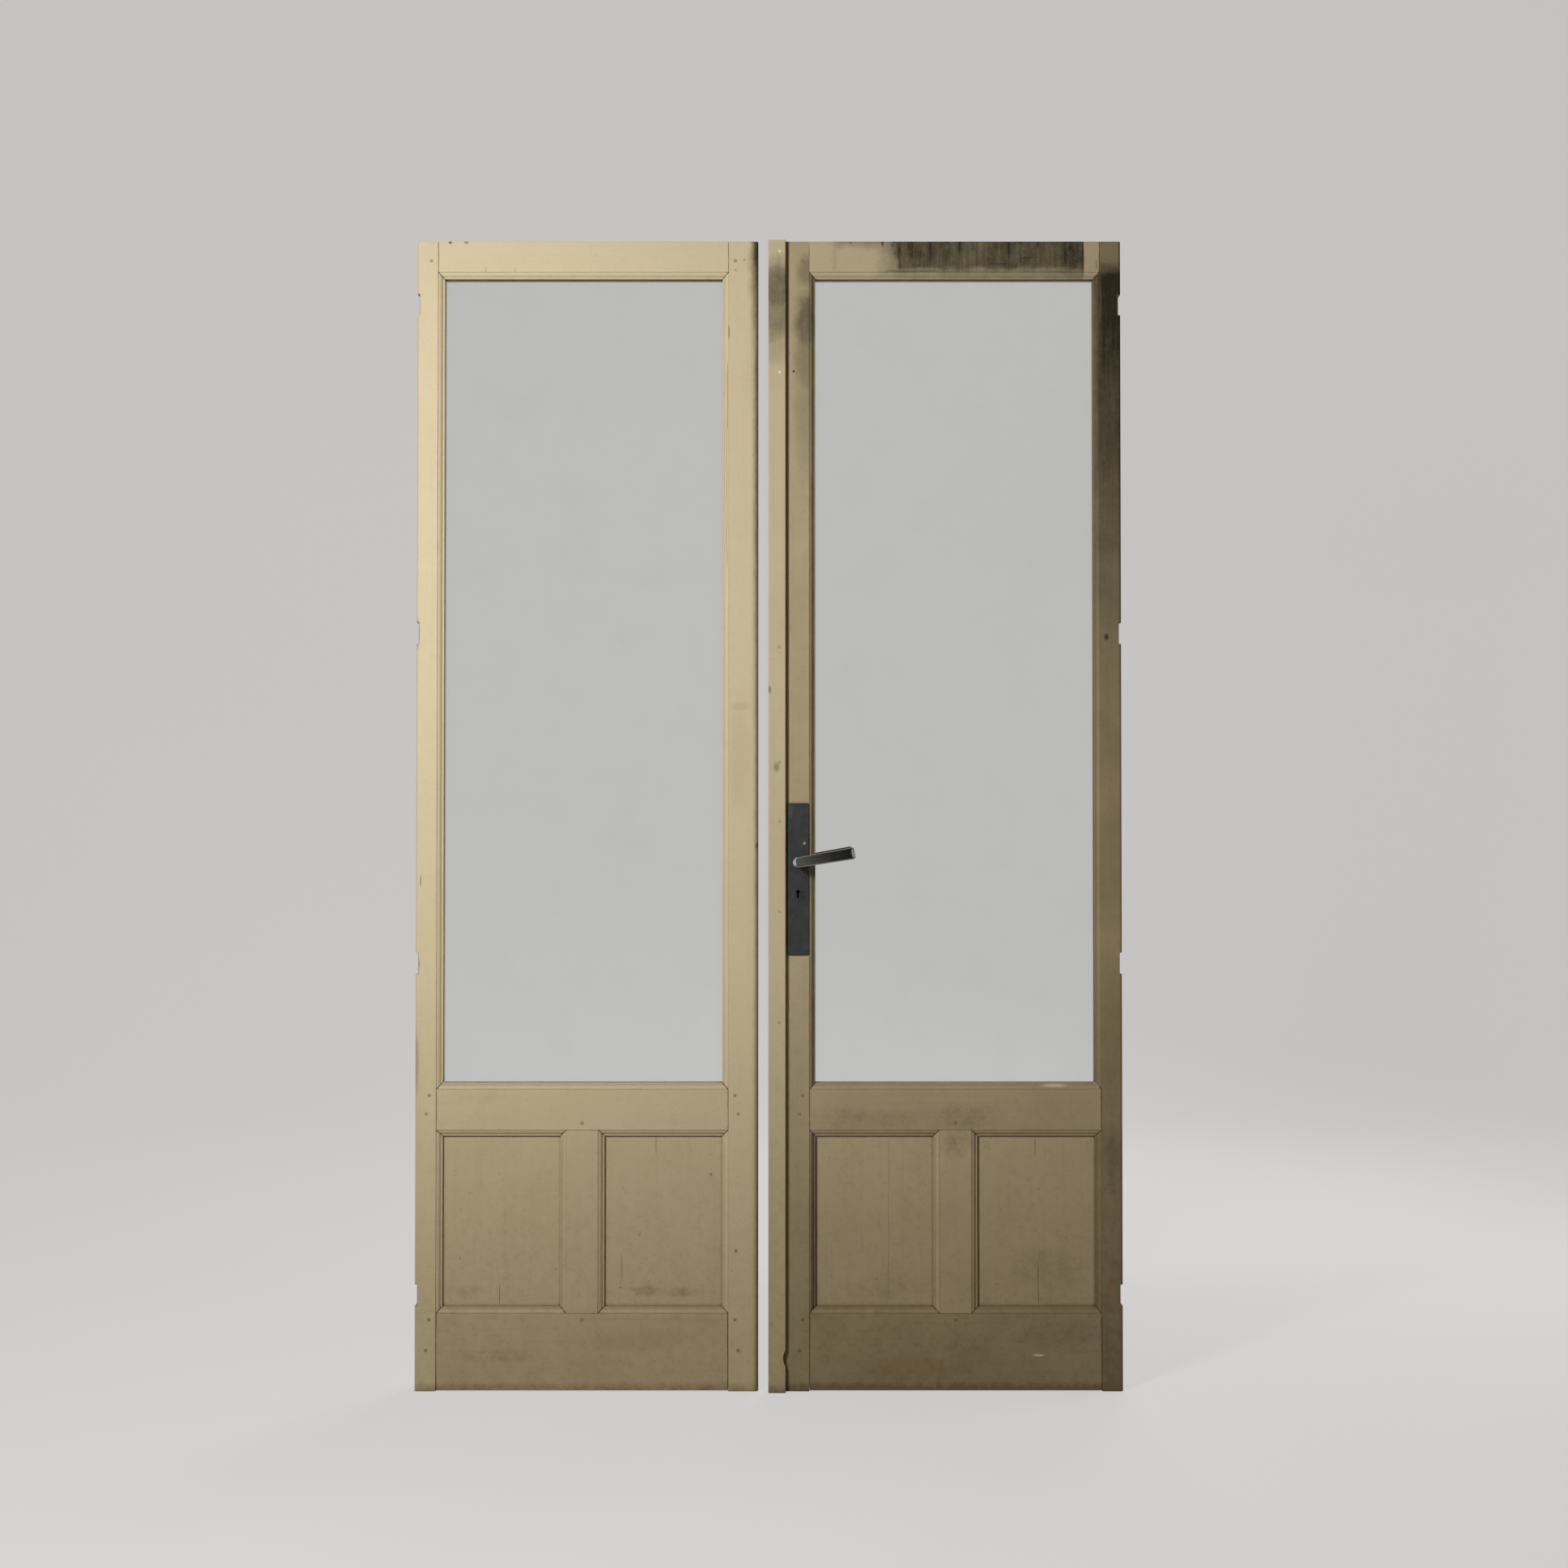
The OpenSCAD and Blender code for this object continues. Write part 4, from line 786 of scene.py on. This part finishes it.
# %% The metals of the pieces
DARK_PLATE = {
    "tone": (0.024, 0.026, 0.025), "tarnish": (0.017, 0.019, 0.018), "bright": (0.11, 0.12, 0.12),
    "metallic": 0.30, "rough": 0.50, "rubbed": 0.30,
}
LEVER = {
    "tone": (0.019, 0.0185, 0.016), "tarnish": (0.010, 0.0097, 0.008), "bright": (0.56, 0.55, 0.51),
    "metallic": 0.85, "rough": 0.26, "rubbed": 0.5,
}
STEEL = {
    "tone": (0.33, 0.32, 0.30), "tarnish": (0.17, 0.15, 0.13), "bright": (0.60, 0.59, 0.56),
    "metallic": 0.9, "rough": 0.34, "rubbed": 0.6,
}
SCREW = {
    "tone": (0.060, 0.060, 0.056), "tarnish": (0.030, 0.029, 0.027), "bright": (0.55, 0.54, 0.50),
    "metallic": 0.8, "rough": 0.36, "rubbed": 0.5,
}
front_plate_iron = metal("front_plate_iron", **DARK_PLATE, marks=[
    ("soot", 1.0, 0.0534, 0.9690, 0.0034, 0.0095),
    ("soot", 1.0, 0.0645, 0.9670, 0.0046, 0.0080),
    ("soot", 1.0, 0.0690, 0.9600, 0.0036, 0.0060),
    ("soot", 1.0, 0.0600, 0.9720, 0.0080, 0.0034),
    ("soot", 0.8, 0.0690, 0.9725, 0.0050, 0.0022),
    ("pale", 0.30, 0.0420, 1.1300, 0.0060, 0.0120),
])
plate_iron = metal("plate_iron", **DARK_PLATE)
lever_iron = metal("lever_iron", **LEVER, handled=True)
aged_steel = metal("aged_steel", **STEEL)
# One screw of the backplate is brighter than the rest.
screw_iron = metal("screw_iron", **SCREW, marks=[("pale", 0.60, 0.0690, 1.0680, 0.0042, 0.0042)])
dress(front_plate_iron, "front_backplate")
dress(plate_iron, "rear_backplate", "lock_case", "lock_cover")
dress(screw_iron, "backplate_screws")
DRESSED_ENDINGS = ("_paint", "glass", "_iron")


def is_plain(name):
    """Whether none of a piece's slots has been given a finish so far."""
    slots = nodes[name].material_slots
    return not any(slot.material.name.endswith(DRESSED_ENDINGS) for slot in slots)


dress(aged_steel, *[name for name in nodes if is_plain(name)])

# %% [markdown]
# ## The levers
# The solids hold each lever as a straight bar with a hollow front. The cast piece is softer: its
# bar spreads a little towards the tip, the round end over the spindle is domed, and a thin rim runs
# round a floor that slopes down to an end wall. One loop round the bar can give all of that, when
# it is carried inwards and backwards by a profile: each row of the grid is the loop, moved in.

# %% The loop round a lever bar
SPINDLE = next(joint["pos_m"] for joint in frame["joints"] if joint["name"] == "lever_press")
LEVER_TILT = math.radians(9.5)
LEVER_LONG = 0.111
ROOT_HALF = 0.01025
TIP_HALF = 0.01165
TIP_ROUND = 0.0045
ROOT_ARC = np.linspace(0.5, 1.5, 41) * np.pi
ALONG = np.linspace(0, 1, 50)[1:-1]
CORNER = np.linspace(-0.5, 0, 9) * np.pi
ACROSS = np.linspace(-1, 1, 9)[1:-1]
LOOP_CUTS = np.cumsum([len(ROOT_ARC), len(ALONG), len(CORNER), len(ACROSS), len(CORNER)])
SIDE_HALF = ROOT_HALF + (TIP_HALF - ROOT_HALF) * ALONG
TIP_COUNT = 2 * len(CORNER) + len(ACROSS)
LOOP_REACH = np.concatenate([
    np.full(len(ROOT_ARC), ROOT_HALF), SIDE_HALF, np.full(TIP_COUNT, TIP_HALF), SIDE_HALF[::-1],
])


def bar_loop(inset):
    """The bar's outline moved in by inset: an arc, two spreading sides and a rounded square tip."""
    root, low, first, tip, last, high = np.split(inset, LOOP_CUTS)
    arc = (ROOT_HALF - root) * np.stack([np.cos(ROOT_ARC), np.sin(ROOT_ARC)])

    def side(away):
        return ALONG * (LEVER_LONG - away - np.maximum(TIP_ROUND - away, 0)), away - SIDE_HALF

    def corner(away):
        turn = np.maximum(TIP_ROUND - away, 0)
        x = LEVER_LONG - away - turn + turn * np.cos(CORNER)
        return x, turn * np.sin(CORNER) - (TIP_HALF - away - turn)

    low_x, low_z = side(low)
    high_x, high_z = side(high[::-1])
    first_x, first_z = corner(first)
    last_x, last_z = corner(last[::-1])
    tip_z = ACROSS * (TIP_HALF - tip - np.maximum(TIP_ROUND - tip, 0))
    x = np.concatenate([arc[0], low_x, first_x, LEVER_LONG - tip, last_x[::-1], high_x[::-1]])
    z = np.concatenate([arc[1], low_z, first_z, tip_z, -last_z[::-1], -high_z[::-1]])
    return x, z


print("points in the loop:", len(LOOP_REACH))

# %% [markdown]
# The profile goes from the middle of the back, round the back edge, up the side, over the front
# edge, across the rim, down the wall and over the floor of the hollow. The front edge's radius grows
# over the spindle, which makes the dome. Each row of the hollow is a share of its depth and of the
# wall's width, and the last one closes on the bar's middle line.

# %% The rows of a lever bar
BAR_FRONT = -0.069
BAR_THICK = 0.011
BACK_ROUND = 0.0014
FRONT_ROUND = 0.0009
DOME_ROUND = 0.0062
RIM = 0.0020
HOLLOW_START = 0.010
HOLLOW_DEEP = 0.0060
SIDE_WALL = 0.0006
END_WALL = 0.0036
DOME_POWER = 1.5
DOME_RIM = 0.0004
RIM_RUBBED_AND_HIGHLIGHT = 0.45
FLOOR_RUBBED = 0.16
BACK_TURNS = np.linspace(0, np.pi / 2, 6)
FRONT_TURNS = np.linspace(0, np.pi / 2, 9)
WALL_ROWS = ((0.12, 0.12), (0.88, 0.88))
FLOOR_ROWS = ((0.97, 1.0), (1.0, 1.2), (1.0, np.inf))


def bar_rows():
    """Rows of points (x, y, z, brightness) about the spindle: the loop, moved in and set at a depth. The
    brightness is partly rubbing and partly a painted highlight.
    """
    dome = np.zeros_like(LOOP_REACH)
    dome[:len(ROOT_ARC)] = np.clip(-np.cos(ROOT_ARC), 0, 1) ** DOME_POWER
    front_round = FRONT_ROUND + (DOME_ROUND - FRONT_ROUND) * dome
    rim = np.maximum(RIM, front_round + DOME_RIM)
    plain = np.zeros_like(rim)
    at_tip = plain.copy()
    lean = np.cos(CORNER)
    at_tip[LOOP_CUTS[1]:LOOP_CUTS[4]] = np.concatenate([lean, np.ones(len(ACROSS)), lean[::-1]])
    wall = SIDE_WALL + (END_WALL - SIDE_WALL) * at_tip
    rows = [(LOOP_REACH, np.full_like(rim, BAR_THICK), plain)]
    for turn in BACK_TURNS:
        inset = np.full_like(rim, BACK_ROUND * (1 - np.sin(turn)))
        rows.append((inset, np.full_like(rim, BAR_THICK - BACK_ROUND * (1 - np.cos(turn))), plain))
    for turn in FRONT_TURNS:
        # The dome and the rim are painted bright: partly rubbed, partly a painted highlight.
        bright = np.maximum(RIM_RUBBED_AND_HIGHLIGHT * np.sin(turn), dome)
        rows.append((front_round * (1 - np.cos(turn)), front_round * (1 - np.sin(turn)), bright))
    rows.append((rim, plain, np.full_like(rim, RIM_RUBBED_AND_HIGHLIGHT)))
    for share, step in WALL_ROWS + FLOOR_ROWS:
        inset = np.minimum(rim + wall * step, LOOP_REACH)
        slope = (bar_loop(inset)[0] - HOLLOW_START) / (LEVER_LONG - RIM - HOLLOW_START)
        slope = np.clip(slope, 0, 1)
        # The end wall of the hollow is painted bright: a painted highlight, with some rubbing.
        bright = at_tip if (share, step) in WALL_ROWS else FLOOR_RUBBED * (1 - slope) ** 2
        rows.append((inset, share * HOLLOW_DEEP * slope, bright))
    points = []
    for inset, depth, bright in rows:
        x, z = bar_loop(inset)
        points.append(np.stack([x, BAR_FRONT + depth, z, bright], axis=1))
    return np.stack(points)


print("rows of the bar:", bar_rows().shape)

# %% [markdown]
# The neck is turned: a radius for each place along the spindle, carried round it. A small dent in
# its top, worked into the same radius, leaves room for the set screw to be seen.

# %% The rows of a lever neck
NECK_RADIUS = 0.009
NECK_PROFILE = np.array([
    (0.0, -0.0234), (0.0102, -0.0234), (0.0108, -0.0237), (0.0110, -0.0243), (0.0110, -0.0276),
    (0.0107, -0.0282), (0.0100, -0.0287), (0.0092, -0.0291), (NECK_RADIUS, -0.0298),
])
NECK_PLAIN = np.arange(-0.0302, -0.0538, -0.0004)
NECK_FLARE = np.array([
    (0.0092, -0.0545), (0.0096, -0.0566), (0.0100, -0.0580), (0.0100, -0.0590), (0.0, -0.0590),
])
NECK_RUBBED = 0.12
SET_SCREW_Y = -0.044
SET_SCREW_ROOM = 0.0021
DENT_DEEP = 0.0010
DENT_SLOPE = 0.0004
NECK_AROUND = 128


def neck_rows():
    """Rows of points about the spindle: the radius at each y, less the dent of the set screw."""
    plain = np.full(len(NECK_PLAIN), NECK_RADIUS)
    radius = np.concatenate([NECK_PROFILE[:, 0], plain, NECK_FLARE[:, 0]])
    y = np.concatenate([NECK_PROFILE[:, 1], NECK_PLAIN, NECK_FLARE[:, 1]])
    turn = np.linspace(-np.pi, np.pi, NECK_AROUND, endpoint=False)
    away = np.hypot(NECK_RADIUS * turn[None, :], (y - SET_SCREW_Y)[:, None])
    dent = np.clip((SET_SCREW_ROOM + DENT_SLOPE / 2 - away) / DENT_SLOPE, 0, 1)
    reach = np.maximum(radius[:, None] - DENT_DEEP * dent, 0)
    y_grid = np.broadcast_to(y[:, None], reach.shape)
    worn = np.full(reach.shape, NECK_RUBBED)
    return np.stack([reach * np.sin(turn), y_grid, reach * np.cos(turn), worn], axis=2)


print("rows of the neck:", neck_rows().shape)

# %% [markdown]
# Both grids become one mesh. Points that fall on each other at the middle lines and poles are merged,
# so the surface is closed, and edges that turn sharply stay crisp while the rest is shaded smooth.

# %% Levers
SAME_POINT = 2e-6
NO_LENGTH = 1e-6
SHARP_TURN = math.radians(38)


def loop_faces(rows, count, start):
    """Quads between neighbouring rows of closed loops, numbered from start."""
    low = np.arange(rows - 1)[:, None] * count
    here = np.arange(count)
    after = (here + 1) % count
    quads = np.stack([low + here, low + after, low + count + after, low + count + here], axis=2)
    return quads.reshape(-1, 4) + start


def cast_lever(name, face, node):
    """A lever on the front (face 1) or the back (face -1): both grids tilted about the spindle."""
    points, quads, start = [], [], 0
    for grid in (bar_rows(), neck_rows()):
        quads.append(loop_faces(grid.shape[0], grid.shape[1], start))
        points.append(grid.reshape(-1, 4))
        start += len(points[-1])
    x, y, z, bright = np.concatenate(points).T
    tilted = np.stack([
        SPINDLE[0] + x * math.cos(LEVER_TILT) - z * math.sin(LEVER_TILT),
        SPINDLE[1] + y * face,
        SPINDLE[2] + x * math.sin(LEVER_TILT) + z * math.cos(LEVER_TILT),
    ], axis=1)
    mesh = bpy.data.meshes.new(name)
    mesh.from_pydata(tilted.tolist(), [], np.concatenate(quads).tolist())
    # This attribute carries the rubbed wear and the painted highlight of the lever.
    mesh.attributes.new(RUBBED_AND_HIGHLIGHT, "FLOAT", "POINT").data.foreach_set("value", bright)
    work = bmesh.new()
    work.from_mesh(mesh)
    bmesh.ops.remove_doubles(work, verts=work.verts, dist=SAME_POINT)
    bmesh.ops.dissolve_degenerate(work, edges=work.edges, dist=NO_LENGTH)
    bmesh.ops.recalc_face_normals(work, faces=work.faces)
    work.to_mesh(mesh)
    work.free()
    mesh.polygons.foreach_set("use_smooth", np.ones(len(mesh.polygons), dtype=bool))
    mesh.set_sharp_from_angle(angle=SHARP_TURN)
    mesh.materials.append(lever_iron)
    lever = put(name, mesh)
    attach(lever, "lever_set")
    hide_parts(node)
    print(name, len(mesh.polygons), "faces")


cast_lever("front_lever_cast", 1, "front_lever")
cast_lever("rear_lever_cast", -1, "rear_lever")

# %% [markdown]
# ## Floor and backdrop
# A floor that curves up into a backdrop has no line behind the object. It is one sheet: a profile of a
# flat, a quarter circle and an upright, drawn out along x. Lamps that suit the paint leave a floor
# grey, so part of an even glow is mixed in for the rays that look at it. The rest stays matt and takes
# the object's shadow.

# %% Studio floor
FLOOR_PALE = (0.42, 0.41, 0.40)
FLOOR_GREY = (0.38, 0.37, 0.36)
FLOOR_CLOUDS = 1.4
FLOOR_GLOW = (0.95, 0.94, 0.93, 1)
GLOW_SHARE = 0.55
SEEN_RAYS = ("Is Camera Ray", "Is Glossy Ray", "Is Transmission Ray")


def sweep_floor(half_width, front, bend, radius, height, steps):
    """A sheet along x whose profile is a flat floor, a quarter circle and an upright wall."""
    turn = np.linspace(0, np.pi / 2, steps)
    y = np.concatenate([[front], bend + radius * np.sin(turn), [bend + radius]])
    z = np.concatenate([[0], radius - radius * np.cos(turn), [height]])
    left = np.stack([np.full_like(y, -half_width), y, z], axis=1)
    right = left * (-1, 1, 1)
    count = len(y)
    low = np.arange(count - 1)
    quads = np.stack([low, low + count, low + count + 1, low + 1], axis=1)
    mesh = bpy.data.meshes.new("studio_floor")
    mesh.from_pydata(np.concatenate([left, right]).tolist(), [], quads.tolist())
    mesh.polygons.foreach_set("use_smooth", np.ones(count - 1, dtype=bool))
    return put("studio_floor", mesh)


def floor_finish():
    """A matt pale grey, lifted by an even glow that only the camera and mirrors see."""
    f = Finish("studio_grey")
    place = Place(f)
    tone = f.tint(FLOOR_PALE, FLOOR_GREY, f.noise(place.vector, FLOOR_CLOUDS, 5.0))
    matt = f.node("BsdfPrincipled", {}, {"Base Color": tone, "Roughness": 0.9})
    glow = f.node("Emission", {}, {"Color": FLOOR_GLOW, "Strength": 1.0})
    camera_ray, glossy_ray, clear_ray = (f.node("LightPath", out=ray) for ray in SEEN_RAYS)
    seen = camera_ray | glossy_ray | clear_ray
    return f.show(f.node("MixShader", {}, {0: seen * GLOW_SHARE, 1: matt, 2: glow}))


floor = sweep_floor(half_width=40, front=-40, bend=3.6, radius=1.6, height=12, steps=24)
floor.data.materials.append(floor_finish())
print("floor faces:", len(floor.data.polygons))

# %% [markdown]
# ## Lamps and room light
# The key light stands to the left and above, as in the picture, so the light falls off toward the
# right and the floor, and the pale surroundings fill the shadows. Two more lamps, behind and to the
# right, keep the back and the outer edge readable. A lamp mirrored in a pane would be a white patch,
# so the key light leaves the panes out and the other two show in no mirror.

# %% Lamps and world


def lamp(name, place, aim, size, power, mirrored=False):
    """A square area light of a size and power at a place, aimed at a point."""
    light = bpy.data.lights.new(name, "AREA")
    light.size = size
    light.energy = power
    thing = put(name, light)
    thing.location = place
    ahead = np.subtract(aim, place)
    flat = math.hypot(ahead[0], ahead[1])
    heading = math.atan2(ahead[1], ahead[0]) - math.pi / 2
    thing.rotation_euler = (math.atan2(flat, -ahead[2]), 0, heading)
    thing.visible_glossy = mirrored
    print(name, "at", place, power, "W")
    return thing


def unlit_by(light, *names):
    """Keeps one lamp off the named pieces, so that they don't mirror it either."""
    left_out = bpy.data.collections.new(light.name + "_left_out")
    for name in names:
        left_out.objects.link(nodes[name])
    for member in left_out.collection_objects:
        member.light_linking.link_state = "EXCLUDE"
    light.light_linking.receiver_collection = left_out
    print(light.name, "leaves out", ", ".join(names))


key = lamp("key_light", (-1.3, -2.45, 2.0), aim=(-0.3, 0, 1.4), size=0.5, power=64, mirrored=True)
unlit_by(key, "left_glass", "right_glass")
lamp("back_light", (1.2, 3.2, 2.9), aim=(0, 0, 1.1), size=1.8, power=80)
lamp("side_light", (2.8, 1.3, 1.7), aim=(0.69, 0, 1.2), size=1.0, power=22)


def soft_room(fill, seen):
    """A world that fills the shadows with one strength and shows mirrors and panes another."""
    f = Finish("soft_room", bpy.data.worlds, "OutputWorld")
    shown, filling = (
        f.node("Background", {}, {"Color": WHITE, "Strength": strength}) for strength in (seen, fill)
    )
    filled = f.node("LightPath", out="Is Diffuse Ray")
    return f.show(f.node("MixShader", {}, {0: filled, 1: shown, 2: filling}))


scene.world = soft_room(fill=0.075, seen=0.50)
print("world:", scene.world.name)

# %% [markdown]
# The dressed part has to stay in the box of its solids.
